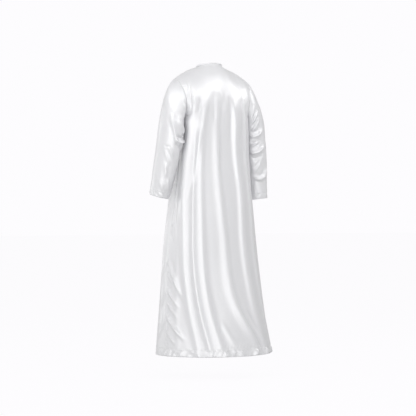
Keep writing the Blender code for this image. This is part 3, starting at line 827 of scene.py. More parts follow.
@dataclass(frozen=True)
class Satin:
    """White satin: a close warp-faced weave with a soft sheen along its threads."""

    name: str = "white_satin"
    colour: tuple[float, float, float] = (0.725, 0.725, 0.745)
    roughness: float = 0.34
    index: float = 1.8
    specular: float = 1.0
    anisotropy: float = 0.35
    sheen: float = 0.12
    threads_per_metre: float = 2600.0
    float_length: float = 0.0016
    weave_depth: float = 0.00003

    def make(self) -> bpy.types.Material:
        """The finished material."""
        made, tree, shader = new_finish(self.name)
        put(shader, {
            "IOR": self.index, "Specular IOR Level": self.specular, "Anisotropic": self.anisotropy,
            "Sheen Weight": self.sheen, "Sheen Roughness": 0.4,
        })
        cloth = tree.nodes.new("ShaderNodeUVMap")
        cloth.uv_map = "cloth"
        tangent = tree.nodes.new("ShaderNodeTangent")
        tangent.direction_type = "UV_MAP"
        tangent.uv_map = "cloth"
        wire(tangent, "Tangent", shader, "Tangent")

        weave = tree.nodes.new("ShaderNodeTexBrick")
        weave.offset, weave.offset_frequency, weave.squash = 0.4, 1, 1.0
        put(weave, {
            "Scale": 1.0, "Color1": (1.0, 1.0, 1.0, 1.0), "Color2": (0.86, 0.86, 0.86, 1.0),
            "Mortar": (0.35, 0.35, 0.35, 1.0), "Mortar Size": 0.00006, "Mortar Smooth": 0.8,
            "Brick Width": self.float_length, "Row Height": 1 / self.threads_per_metre,
        })
        turn = tree.nodes.new("ShaderNodeMapping")
        put(turn, {"Rotation": (0.0, 0.0, math.radians(90))})
        wire(cloth, "UV", turn, "Vector")
        wire(turn, "Vector", weave, "Vector")

        slubs = self._noise(tree, cloth, (260.0, 9.0, 1.0), 3.0)
        clouds = self._noise(tree, cloth, (6.0, 4.0, 1.0), 2.0)
        rough = tree.nodes.new("ShaderNodeMapRange")
        put(rough, {"To Min": self.roughness - 0.045, "To Max": self.roughness + 0.045})
        wire(slubs, "Fac", rough, "Value")
        wire(rough, "Result", shader, "Roughness")

        shade = tree.nodes.new("ShaderNodeMix")
        shade.data_type = "RGBA"
        put(shade, {
            "A": (*(c * 0.985 for c in self.colour), 1.0),
            "B": (*(min(1.0, c * 1.015) for c in self.colour), 1.0),
        })
        wire(clouds, "Fac", shade, "Factor")
        wire(shade, "Result", shader, "Base Color")

        close = tree.nodes.new("ShaderNodeBump")
        put(close, {"Strength": 0.5, "Distance": self.weave_depth})
        wire(weave, "Color", close, "Height")
        drawn = tree.nodes.new("ShaderNodeBump")
        put(drawn, {"Strength": 0.30, "Distance": 0.00018})
        wire(slubs, "Fac", drawn, "Height")
        wire(close, "Normal", drawn, "Normal")
        wire(drawn, "Normal", shader, "Normal")
        return made

    @staticmethod
    def _noise(
        tree: bpy.types.NodeTree, cloth: bpy.types.Node, scale: tuple[float, float, float], detail: float
    ) -> bpy.types.Node:
        """A noise that follows the cloth, stretched by scale."""
        place = tree.nodes.new("ShaderNodeMapping")
        put(place, {"Scale": scale})
        noise = tree.nodes.new("ShaderNodeTexNoise")
        put(noise, {"Scale": 1.0, "Detail": detail})
        wire(cloth, "UV", place, "Vector")
        wire(place, "Vector", noise, "Vector")
        return noise


@dataclass(frozen=True)
class Thread:
    """Twisted white sewing thread, its colour raised above the satin's as a painted highlight along the stitch
    lines.
    """

    name: str = "sewing_thread_painted_highlight"
    # The thread's own white, raised above the satin's colour: a painted highlight for the puckered stitch lines.
    colour: tuple[float, float, float] = (0.92, 0.92, 0.93)
    twist: float = 1400.0

    def make(self) -> bpy.types.Material:
        """The finished material."""
        made, tree, shader = new_finish(self.name)
        put(shader, {"Base Color": (*self.colour, 1.0), "Roughness": 0.55, "Sheen Weight": 0.25})
        place = tree.nodes.new("ShaderNodeTexCoord")
        wave = tree.nodes.new("ShaderNodeTexWave")
        wave.bands_direction = "DIAGONAL"
        put(wave, {"Scale": self.twist})
        bump = tree.nodes.new("ShaderNodeBump")
        put(bump, {"Strength": 0.4, "Distance": 0.00005})
        wire(place, "Object", wave, "Vector")
        wire(wave, "Fac", bump, "Height")
        wire(bump, "Normal", shader, "Normal")
        return made


@dataclass(frozen=True)
class Pearl:
    """Polished resin with the faint bands of pearl shell."""

    name: str = "pearl_button"
    pale: tuple[float, float, float] = (0.80, 0.79, 0.76)
    dark: tuple[float, float, float] = (0.66, 0.66, 0.66)

    def make(self) -> bpy.types.Material:
        """The finished material."""
        made, tree, shader = new_finish(self.name)
        put(shader, {"Roughness": 0.18, "Coat Weight": 0.6, "Coat Roughness": 0.08})
        place = tree.nodes.new("ShaderNodeTexCoord")
        wave = tree.nodes.new("ShaderNodeTexWave")
        put(wave, {"Scale": 90.0, "Distortion": 6.0, "Detail": 3.0})
        mix = tree.nodes.new("ShaderNodeMix")
        mix.data_type = "RGBA"
        put(mix, {"A": (*self.dark, 1.0), "B": (*self.pale, 1.0)})
        wire(place, "Object", wave, "Vector")
        wire(wave, "Fac", mix, "Factor")
        wire(mix, "Result", shader, "Base Color")
        return made


@dataclass
class Finishes:
    """The robe's finished materials."""

    satin: bpy.types.Material
    thread: bpy.types.Material
    pearl: bpy.types.Material

    @classmethod
    def made(cls) -> Finishes:
        """All of them, newly made."""
        return cls(Satin().make(), Thread().make(), Pearl().make())


def grid_quads(rows: int, columns: int, closed: bool = False, flip: bool = False) -> Grid:
    """The four-sided faces of a grid whose points are counted row by row."""
    r = np.arange(rows - 1)[:, None]
    c = np.arange(columns if closed else columns - 1)[None, :]
    d = (c + 1) % columns
    faces = np.stack([r * columns + c, r * columns + d, (r + 1) * columns + d, (r + 1) * columns + c], -1)
    faces = faces.reshape(-1, 4)
    return faces[:, ::-1] if flip else faces


def linked(name: str, mesh: bpy.types.Mesh) -> bpy.types.Object:
    """A new object of a mesh, linked to the scene."""
    made = bpy.data.objects.new(name, mesh)
    bpy.context.scene.collection.objects.link(made)
    return made


def object_of(
    name: str, points: Grid, faces: Grid, finish: bpy.types.Material, uv: Grid | None
) -> bpy.types.Object:
    """A mesh object at the origin.

    Args:
        name: Its name.
        points: Its points.
        faces: Its four-sided faces.
        finish: Its material.
        uv: Each point's place on the cloth, across and down, or None.

    Returns:
        The object, smooth and linked to the scene.
    """
    mesh = bpy.data.meshes.new(name)
    mesh.vertices.add(len(points))
    mesh.vertices.foreach_set("co", points.astype(np.float32).ravel())
    mesh.loops.add(faces.size)
    mesh.loops.foreach_set("vertex_index", faces.astype(np.int32).ravel())
    mesh.polygons.add(len(faces))
    mesh.polygons.foreach_set("loop_start", np.arange(0, faces.size, 4, dtype=np.int32))
    mesh.update(calc_edges=True)
    if uv is not None:
        layer = mesh.uv_layers.new(name="cloth")
        own = uv[faces]
        width = uv[:, 0].max()
        low = own[:, :, 0] < width * 0.25
        over = (own[:, :, 0].max(axis=1) > width * 0.75)[:, None] & low
        own[:, :, 0] += np.where(over, width, 0.0)
        layer.data.foreach_set("uv", own.astype(np.float32).ravel())
    mesh.validate()
    mesh.shade_smooth()
    mesh.materials.append(finish)
    return linked(name, mesh)


def walled(
    name: str, outer: Grid, inner: Grid, faces: Grid, finish: bpy.types.Material, uv: Grid
) -> bpy.types.Object:
    """A closed wall between an outer and an inner layer of points, with a rim along each open edge."""
    outer, inner, uv = outer.reshape(-1, 3), inner.reshape(-1, 3), uv.reshape(-1, 2)
    count = len(outer)
    a, b = faces.reshape(-1), np.roll(faces, -1, axis=1).reshape(-1)
    lone = ~np.isin(a.astype(np.int64) * count + b, b.astype(np.int64) * count + a)
    a, b = a[lone], b[lone]
    rims = np.stack([b, a, a + count, b + count], 1)
    every = np.concatenate([faces, faces[:, ::-1] + count, rims])
    return object_of(name, np.concatenate([outer, inner]), every, finish, np.concatenate([uv, uv]))


def dress(piece: bpy.types.Object, slot: Slot, *nodes: str) -> bpy.types.Object:
    """Makes a finished piece ride on the robe, in place of the nodes named."""
    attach(piece, BODY)
    if nodes:
        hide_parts(*nodes)
    LOG.info("%s: %d faces", piece.name, len(piece.data.polygons))
    return piece


@dataclass
class StitchLine:
    """A row of machine stitches along a path, made with Geometry Nodes."""

    spacing: float = 0.0034
    length: float = 0.0026
    radius: float = 0.00040

    def tree(self, finish: bpy.types.Material) -> bpy.types.NodeTree:
        """The tree that sets one stitch at each step of the path."""
        tree = bpy.data.node_groups.new("stitch_line", "GeometryNodeTree")
        tree.interface.new_socket("Path", in_out="INPUT", socket_type="NodeSocketGeometry")
        for name in ("Spacing", "Length", "Radius"):
            tree.interface.new_socket(name, in_out="INPUT", socket_type="NodeSocketFloat")
        tree.interface.new_socket("Stitches", in_out="OUTPUT", socket_type="NodeSocketGeometry")
        new = tree.nodes.new
        start, end = new("NodeGroupInput"), new("NodeGroupOutput")
        curve = new("GeometryNodeMeshToCurve")
        steps = new("GeometryNodeResampleCurve")
        steps.mode = "LENGTH"
        tangent = new("GeometryNodeInputTangent")
        turn = new("FunctionNodeAlignRotationToVector")
        turn.axis = "Z"
        stitch = new("GeometryNodeMeshUVSphere")
        put(stitch, {"Segments": 6, "Rings": 4, "Radius": 1.0})
        half = new("ShaderNodeMath")
        half.operation = "MULTIPLY"
        half.inputs[1].default_value = 0.5
        size = new("ShaderNodeCombineXYZ")
        place = new("GeometryNodeInstanceOnPoints")
        real = new("GeometryNodeRealizeInstances")
        dye = new("GeometryNodeSetMaterial")
        put(dye, {"Material": finish})
        wire(start, "Path", curve, "Mesh")
        wire(curve, "Curve", steps, "Curve")
        wire(start, "Spacing", steps, "Length")
        wire(tangent, "Tangent", turn, "Vector")
        wire(start, "Length", half, 0)
        wire(start, "Radius", size, "X")
        wire(start, "Radius", size, "Y")
        wire(half, "Value", size, "Z")
        wire(steps, "Curve", place, "Points")
        wire(stitch, "Mesh", place, "Instance")
        wire(turn, "Rotation", place, "Rotation")
        wire(size, "Vector", place, "Scale")
        wire(place, "Instances", real, "Geometry")
        wire(real, "Geometry", dye, "Geometry")
        wire(dye, "Geometry", end, "Stitches")
        return tree

    def along(
        self, name: str, paths: Sequence[tuple[Grid, bool]], finish: bpy.types.Material
    ) -> bpy.types.Object:
        """Sews along paths.

        Args:
            name: The piece's name.
            paths: The points of each path, and whether it closes on itself.
            finish: The thread's material.

        Returns:
            The stitches as one plain mesh.
        """
        points, edges = [], []
        for path, closed in paths:
            first = len(points)
            points += path.tolist()
            edges += [(i, i + 1) for i in range(first, len(points) - 1)]
            edges += [(len(points) - 1, first)] if closed else []
        guide_mesh = bpy.data.meshes.new(name + "_path")
        guide_mesh.from_pydata(points, edges, [])
        guide = linked(name + "_path", guide_mesh)
        tree = self.tree(finish)
        modifier = guide.modifiers.new("stitches", "NODES")
        modifier.node_group = tree
        sizes = {"Spacing": self.spacing, "Length": self.length, "Radius": self.radius}
        for item in tree.interface.items_tree:
            if item.in_out == "INPUT" and item.name in sizes:
                modifier[item.identifier] = sizes[item.name]
        graph = bpy.context.evaluated_depsgraph_get()
        mesh = bpy.data.meshes.new_from_object(guide.evaluated_get(graph))
        bpy.data.objects.remove(guide, do_unlink=True)
        mesh.name = name
        mesh.shade_smooth()
        return linked(name, mesh)


@dataclass
class Body:
    """The back and the front, with the hem's turned-up strip."""

    fine: FineForm
    cloth: Cloth
    finishes: Finishes
    slit_rows: int = 66
    slit_half: float = 0.0003
    edge_reach: float = 0.08
    side_pucker: float = 2.1
    shoulder_pucker: float = 0.5
    shoulder_fade: float = 0.03
    flat: tuple[float, float] = (0.94, 1.50)
    hem_flat: tuple[float, float] = (1.72, 0.040)
    surfaces: dict[Panel, Grid] = field(default_factory=dict)

    def relief(self, panel: Panel, net: ClothNet) -> Grid:
        """How far folds, creases and puckers lift each point of a panel."""
        lift = np.zeros(net.drop.shape)
        for fold in LONG_FOLDS[panel]:
            lift += fold.lift(net)
        inward = np.minimum(net.across, 1 - net.across)[None, :]
        lift *= ease(inward / self.edge_reach)
        for crease in PANEL_CREASES[panel]:
            lift += crease.lift(net)
        metres, along = net.metres, np.broadcast_to(net.down[:, None], net.drop.shape)
        seed, share = SEEDS[panel], self.fine.form.shoulder_share
        for number, away in enumerate((metres, net.girth[:, None] - metres)):
            lift += self.cloth.seam_relief(along, away, seed + number, self.side_pucker)
        shoulder = self.cloth.seam_relief(metres, along, seed + 3, self.shoulder_pucker)
        lift += np.where(inward < share, shoulder, 0.0) * ease((share - inward) / self.shoulder_fade)
        height = net.down[-1] - along
        lift += self.cloth.hem_relief(metres, height, self.cloth.stitch_height, seed + 5)
        return lift

    def drawn_in(self, net: ClothNet, points: Grid) -> Grid:
        """The panel with half a seam gap left outside each of its sewn edges."""
        drawn = points.copy()
        edges = (((slice(None), 0), (slice(None), 1)), ((slice(None), -1), (slice(None), -2)), ((0,), (1,)))
        for edge, beside in edges:
            drawn[edge] += unit(points[beside] - points[edge]) * self.cloth.seam_gap / 2
        return drawn

    def build(self) -> dict[str, bpy.types.Object]:
        """Builds and dresses the panels and the turned-up hem.

        Returns:
            The pieces by name.
        """
        made = {}
        for panel in Panel:
            net = self.fine.net(panel)
            points = net.points + net.normals * self.relief(panel, net)[:, :, None]
            self.surfaces[panel] = points
            outer = self.drawn_in(net, points)
            inner = outer - net.normals * self.cloth.wall
            uv = np.stack([net.metres, np.broadcast_to(net.down[:, None], net.drop.shape)], -1)
            faces = grid_quads(*net.drop.shape, flip=panel is Panel.BACK)
            parts = [outer.reshape(-1, 3), inner.reshape(-1, 3), faces, uv.reshape(-1, 2)]
            if panel is Panel.FRONT:
                parts = self.slit(net, *parts)
            name = panel.name.lower()
            outer, inner, faces, uv = parts
            piece = walled(f"{name}_cloth", outer, inner, faces, self.finishes.satin, uv)
            made[name] = dress(piece, Slot.SATIN, name)
        made["hem"] = self.hem()
        return made

    def slit(self, net: ClothNet, outer: Grid, inner: Grid, faces: Grid, uv: Grid) -> list[Grid]:
        """Opens the front down its middle column."""
        columns = net.drop.shape[1]
        middle = int(np.argmin(np.abs(net.across - 0.5)))
        ids = np.arange(self.slit_rows) * columns + middle
        aside = np.array([self.slit_half, 0.0, 0.0])
        count = len(outer)
        outer, inner = (np.concatenate([layer, layer[ids] - aside]) for layer in (outer, inner))
        outer[ids] += aside
        inner[ids] += aside
        uv = np.concatenate([uv, uv[ids]])
        moved = np.arange(len(outer))
        moved[ids] = count + np.arange(len(ids))
        right = np.arange(len(faces)) % (columns - 1) >= middle
        return [outer, inner, np.where(right[:, None], moved[faces], faces), uv]

    def hem(self) -> bpy.types.Object:
        """The hem's turned-up strip, a ring inside both panels."""
        rows = slice(self.fine.hem_row, None)
        inset = self.cloth.wall + self.cloth.turnup_gap
        normals = [self.fine.normals[panel][rows] for panel in Panel]
        bands = [self.surfaces[panel][rows] - out * inset for panel, out in zip(Panel, normals)]
        outer, normal = (
            np.concatenate([back, front[:, ::-1][:, 1:-1]], axis=1) for back, front in (bands, normals)
        )
        inner = outer - normal * self.cloth.turnup_wall
        girth = np.linalg.norm(np.diff(outer[-1], axis=0), axis=1).sum()
        columns = outer.shape[1]
        across = np.broadcast_to(np.linspace(0, girth, columns)[None, :], outer.shape[:2])
        down = np.broadcast_to(self.fine.down[rows][:, None], outer.shape[:2])
        uv = np.stack([across, down], -1)
        faces = grid_quads(*outer.shape[:2], closed=True, flip=True)
        piece = walled("hem_turnup_cloth", outer, inner, faces, self.finishes.satin, uv)
        dress(piece, Slot.SATIN, "hem_turnup")
        return piece


@dataclass
class Sleeve:
    """One sleeve with its turned-up cuff."""

    side: Side
    fine: FineForm
    cloth: Cloth
    finishes: Finishes
    cap_rows: int = 7
    sleeve_rows: int = 13
    cap_parts: int = 10
    row_parts: int = 9
    cuff_parts: int = 7
    cap_leave: float = 0.80
    cap_arrive: float = 0.55
    axis_step: float = 0.01
    crease_fade: float = 0.03
    armhole_pucker: float = 1.2
    under_pucker: float = 0.8
    cuff_share: float = 0.7
    flat: tuple[float, float] = (0.52, 0.66)
    cuff_flat: tuple[float, float] = (0.33, 0.029)
    surface: Grid = field(init=False)
    normals: Grid = field(init=False)
    down: Grid = field(init=False)

    SECTIONS = {
        Side.LEFT: Table(
            ("drop", "out", "back", "half_width", "half_depth"),
            (
                (0.310, 0.234, 0.033, 0.060, 0.076),
                (0.410, 0.245, 0.024, 0.059, 0.072),
                (0.510, 0.257, 0.009, 0.056, 0.066),
                (0.585, 0.266, -0.004, 0.052, 0.059),
                (0.642, 0.275, -0.017, 0.047, 0.051),
            ),
        ),
        Side.RIGHT: Table(
            ("drop", "out", "back", "half_width", "half_depth"),
            (
                (0.310, 0.241, 0.018, 0.060, 0.074),
                (0.410, 0.251, 0.017, 0.059, 0.070),
                (0.510, 0.262, 0.012, 0.056, 0.064),
                (0.585, 0.271, 0.011, 0.052, 0.058),
                (0.655, 0.279, 0.015, 0.047, 0.050),
            ),
        ),
    }
    CAP_WAYS = {
        Side.LEFT: ((0.86, 0.00, -0.50), (0.60, 0.32, -0.73), (0.90, 0.00, -0.40), (0.62, -0.22, -0.75)),
        Side.RIGHT: ((0.86, 0.00, -0.50), (0.62, 0.30, -0.80), (0.85, 0.00, -0.50), (0.65, -0.25, -0.72)),
    }
    MAIN_CREASES = {
        Side.LEFT: (
            (0.300, 0.30, 2.0, 0.016, 0.16, 0.0025),
            (0.385, 0.38, 2.5, 0.018, 0.13, 0.0055),
            (0.470, 0.30, 2.5, 0.020, 0.14, 0.0022),
        ),
        Side.RIGHT: (
            (0.330, 0.26, -2.5, 0.016, 0.16, 0.0022),
            (0.400, 0.30, -2.5, 0.018, 0.17, 0.0026),
            (0.465, 0.30, 1.5, 0.018, 0.16, 0.0020),
        ),
    }

    def ring(self, drop: float, turns: Grid) -> tuple[Grid, Grid]:
        """A ring of the sleeve, square to its axis, and the axis, as for the left arm."""
        table = self.SECTIONS[self.side]
        places = table.column("drop")
        here = {name: table.size(name, drop) for name in table.names[1:]}
        above, below = max(drop - self.axis_step, places[0]), min(drop + self.axis_step, places[-1])
        before, after = ({n: table.size(n, at) for n in ("out", "back")} for at in (above, below))
        axis = unit(np.array([after["out"] - before["out"], after["back"] - before["back"], above - below]))
        out = unit(np.array([1.0, 0.0, 0.0]) - axis[0] * axis)
        back = np.cross(axis, out)
        back = back if back[1] > 0 else -back
        angle = turns * 2 * math.pi
        ring = (
            np.array([here["out"], here["back"], -drop])
            + np.outer(np.cos(angle), out) * here["half_width"]
            + np.outer(np.sin(angle), back) * here["half_depth"]
        )
        return ring, axis

    def net(self) -> ClothNet:
        """The sleeve's fine points, from the armhole to the cuff."""
        mirror = np.array([self.side.value, 1.0, 1.0])
        hole = self.fine.armhole(self.side) * mirror
        turns = np.linspace(0, 1, len(hole) + 1)[:-1]
        drops = self.SECTIONS[self.side].column("drop")
        first, last = drops[0], drops[-1]
        ring, axis = self.ring(first, turns)
        ways = np.array([*self.CAP_WAYS[self.side], self.CAP_WAYS[self.side][0]])
        way = unit(np.stack([np.interp(turns * 4, range(5), ways[:, k]) for k in range(3)], 1))
        rise = ring - hole
        reach = np.linalg.norm(rise, axis=1, keepdims=True)
        rows = []
        for t in np.linspace(0, 1, self.cap_rows * self.cap_parts + 1)[:-1]:
            leave, arrive = way * reach * self.cap_leave - rise, axis * reach * self.cap_arrive - rise
            rows.append(hole + t * rise + t * (t - 1) * ((t - 1) * leave + t * arrive))
        cuff = last - self.fine.form.cuff_height
        steps = [self.row_parts * (self.sleeve_rows - 1), self.cuff_parts]
        rows += [self.ring(drop, turns)[0] for drop in subdivided(np.array([first, cuff, last]), steps)]
        points = np.array(rows)
        normals = normals_of(points, 1.0, closed=True)
        started = ease(np.arange(len(points)) / (3 * self.cap_parts))[:, None]
        points = points + normals * (self.main_creases(-points[:, :, 2], turns) * started)[:, :, None]
        points = points * mirror
        ring = np.concatenate([points, points[:, :1]], axis=1)
        girth = np.linalg.norm(np.diff(ring, axis=1), axis=2).sum(axis=1)
        down = np.append(0.0, np.cumsum(np.linalg.norm(np.diff(points, axis=0), axis=2).mean(axis=1)))
        normals = normals_of(points, self.side.value, closed=True)
        return ClothNet(points, normals, turns, down, girth, closed=True)

    def main_creases(self, drop: Grid, turns: Grid) -> Grid:
        """How far the sleeve's three broad creases lift each point."""
        lift = np.zeros(drop.shape)
        for at, around, slant, half_height, half_turn, height in self.MAIN_CREASES[self.side]:
            away = (turns - around + 0.5) % 1.0 - 0.5
            ridge = np.exp(-(((drop - at - away / slant) / half_height) ** 2))
            lift += height * ridge * np.exp(-((away / half_turn) ** 2))
        return lift

    def relief(self, net: ClothNet) -> Grid:
        """How far creases and puckers lift each point of the sleeve."""
        lift = np.zeros(net.drop.shape)
        for crease in SLEEVE_CREASES[self.side]:
            lift += crease.lift(net)
        along = np.broadcast_to(net.down[:, None], net.drop.shape)
        lift *= ease(along / self.crease_fade)
        seed = SEEDS[self.side]
        lift += self.cloth.seam_relief(net.metres, along, seed, self.armhole_pucker)
        under = np.abs(net.across - 0.5)[None, :] * net.girth[:, None]
        lift += self.cloth.seam_relief(along, under, seed + 1, self.under_pucker)
        height = net.down[-1] - along
        hem = self.cloth.hem_relief(net.metres, height, self.cloth.cuff_stitch_height, seed + 2)
        return lift + hem * self.cuff_share

    def build(self) -> dict[str, bpy.types.Object]:
        """Builds and dresses the sleeve and its cuff's turned-up strip.

        Returns:
            The pieces by name.
        """
        net = self.net()
        points = net.points + net.normals * self.relief(net)[:, :, None]
        self.surface, self.normals, self.down = points, net.normals, net.down
        outer = points.copy()
        outer[0] += unit(points[1] - points[0]) * self.cloth.seam_gap / 2
        inner = outer - net.normals * self.cloth.wall
        uv = np.stack([net.metres, np.broadcast_to(net.down[:, None], net.drop.shape)], -1)
        flip = self.side is Side.LEFT
        faces = grid_quads(*net.drop.shape, closed=True, flip=flip)
        side = self.side.name.lower()
        piece = walled(f"{side}_sleeve_cloth", outer, inner, faces, self.finishes.satin, uv)
        dress(piece, Slot.SATIN, f"{side}_sleeve")

        rows = slice(-1 - self.cuff_parts, None)
        band = points[rows] - net.normals[rows] * (self.cloth.wall + self.cloth.turnup_gap)
        under = band - net.normals[rows] * self.cloth.turnup_wall
        uv = np.stack([net.metres[rows], np.broadcast_to(net.down[rows][:, None], band.shape[:2])], -1)
        faces = grid_quads(*band.shape[:2], closed=True, flip=flip)
        cuff = walled(f"{side}_cuff_cloth", band, under, faces, self.finishes.satin, uv)
        dress(cuff, Slot.SATIN, f"{side}_cuff_hem")
        return {f"{side}_sleeve": piece, f"{side}_cuff": cuff}


@dataclass
class NeckBand:
    """The narrow folded band that stands on the neck seam and is open at the centre front."""

    fine: FineForm
    finishes: Finishes
    height: float = 0.010
    side_height: float = 0.0052
    wall: float = 0.0018
    lift: float = 0.0006
    gap: float = 0.0003
    wave: float = 0.0001
    wave_length: float = 0.030
    narrows_at: tuple[float, float] = (0.004, 0.016)
    seed: int = 61

    def seam(self) -> Grid:
        """The neck seam's points, from the centre front by way of the left, the back and the right."""
        parts = {}
        for panel in Panel:
            shares = self.fine.shares(panel)
            share = self.fine.form.shoulder_share
            on_neck = (shares >= share - 1e-9) & (shares <= 1 - share + 1e-9)
            parts[panel] = self.fine.points[panel][0][on_neck]
        front = parts[Panel.FRONT]
        half = len(front) // 2
        loop = np.concatenate([front[: half + 1][::-1][:-1], parts[Panel.BACK], front[half:][::-1][1:]])
        loop[0, 0] += self.gap
        loop[-1, 0] -= self.gap
        return loop

    def profile(self) -> Grid:
        """The band's section, outwards and up, from its outer foot over the fold to its inner foot."""
        half, top = self.wall / 2, self.lift + self.height
        turn = np.linspace(0, math.pi, 9)
        fold = np.stack([half * np.cos(turn), top - half + half * np.sin(turn)], 1)
        sides = np.linspace(self.lift, top - half, 5)[:-1]
        swell = 0.00035 * np.sin(np.linspace(0, math.pi, 5)[:-1])
        outer = np.stack([half + swell, sides], 1)
        inner = np.stack([-half - swell[::-1], sides[::-1]], 1)
        return np.concatenate([outer, fold, inner])

    def build(self) -> bpy.types.Object:
        """Builds and dresses the band."""
        loop = self.seam()
        outward = unit(loop * np.array([1.0, 1.0, 0.0]))
        way = np.append(0.0, np.cumsum(np.linalg.norm(np.diff(loop, axis=0), axis=1)))
        wave = self.wave * ripple(way, self.wave_length, self.seed)
        rise = np.interp(loop[:, 2], self.narrows_at, (1.0, self.side_height / self.height))
        upward = np.array([0.0, 0.0, 1.0]) * (rise + wave / self.height)[:, None]
        profile = self.profile()
        points = np.array(
            [loop + outward * (aside + wave[:, None] * 0.5) + upward * up for aside, up in profile]
        )
        rows, columns = points.shape[:2]
        faces = grid_quads(rows, columns)
        foot = np.stack([np.arange(columns - 1), np.arange(1, columns)], 1)
        last = (rows - 1) * columns
        floor = np.stack([last + foot[:, 0], last + foot[:, 1], foot[:, 1], foot[:, 0]], 1)
        caps = []
        for column, turned in ((0, False), (columns - 1, True)):
            for r in range(rows // 2):
                quad = [r, r + 1, rows - 2 - r, rows - 1 - r]
                quad = [i * columns + column for i in quad]
                caps.append(quad[::-1] if turned else quad)
        every = np.concatenate([faces, floor, np.array([c for c in caps if len(set(c)) == 4])])
        across = np.broadcast_to(way[None, :], (rows, columns))
        down = np.broadcast_to(profile[:, 1][:, None], (rows, columns))
        uv = np.stack([across, down], -1).reshape(-1, 2)
        piece = object_of("neck_band_cloth", points.reshape(-1, 3), every, self.finishes.satin, uv)
        dress(piece, Slot.SATIN, "neck_band")
        return piece


@dataclass
class Placket:
    """The strip over the front opening, with its three buttons."""

    body: Body
    finishes: Finishes
    half_width: float = 0.017
    rows: int = 72
    first_row: int = 1
    columns: int = 25
    lift: float = 0.0004
    wall: float = 0.0012
    roll: float = 0.0012
    edge_wall: float = 0.0004
    length: float = 0.27
    slack: float = 0.00025
    slack_length: float = 0.022
    seed: int = 71
    button_rows: tuple[float, ...] = (2.5, 5.5, 8.5)
    surface: Grid = field(init=False)

    def under(self) -> tuple[Grid, Grid]:
        """The strip's underside and its normals, from the front's own surface."""
        surface = self.body.surfaces[Panel.FRONT][self.first_row : self.rows + 1]
        aside = np.linspace(-self.half_width, self.half_width, self.columns)
        strip = np.array(
            [np.stack([np.interp(aside, -row[:, 0], row[:, k]) for k in range(3)], 1) for row in surface]
        )
        return strip, normals_of(strip, Panel.FRONT.value)

    def build(self) -> list[bpy.types.Object]:
        """Builds and dresses the strip and its buttons.

        Returns:
            The strip, then the buttons.
        """
        strip, normal = self.under()
        edge = self.half_width - np.abs(np.linspace(-self.half_width, self.half_width, self.columns))
        end = np.linspace(0, 1, len(strip))[::-1] * self.length
        near = np.minimum(edge[None, :], end[:, None])
        rounded = np.sqrt(np.clip(1 - (1 - np.clip(near / self.roll, 0, 1)) ** 2, 0.0, 1.0))
        along = np.linalg.norm(np.diff(strip[:, self.columns // 2], axis=0), axis=1).cumsum()
        along = np.append(0.0, along)
        wave = self.slack * ripple(along, self.slack_length, self.seed)[:, None]
        slack = wave * ease(edge / 0.004)[None, :]
        low = strip + normal * self.lift
        thick = self.edge_wall + (self.wall - self.edge_wall) * rounded + slack
        high = low + normal * thick[:, :, None]
        self.surface = high
        across = np.broadcast_to(edge[None, :], near.shape) + self.half_width
        uv = np.stack([across, np.broadcast_to(along[:, None], near.shape)], -1)
        faces = grid_quads(*near.shape)
        piece = walled("placket_cloth", high, low, faces, self.finishes.satin, uv)
        dress(piece, Slot.SATIN, "placket")
        return [piece, *(self.button(number, row) for number, row in enumerate(self.button_rows, 1))]

    def button(self, number: int, row: float) -> bpy.types.Object:
        """One four-hole button, sewn where the frame has it."""
        source = bpy.data.objects[f"button_{number}"]
        corners = np.array([source.matrix_world @ Vector(c) for c in source.bound_box])
        middle = round(row * self.body.fine.yoke_parts - self.first_row)
        facing = unit(normals_of(self.surface, Panel.FRONT.value)[middle, self.columns // 2])
        centre = corners.mean(axis=0)
        made = Button(self.finishes).build(f"pearl_button_{number}", centre, facing)
        return dress(made, Slot.PEARL, f"button_{number}")


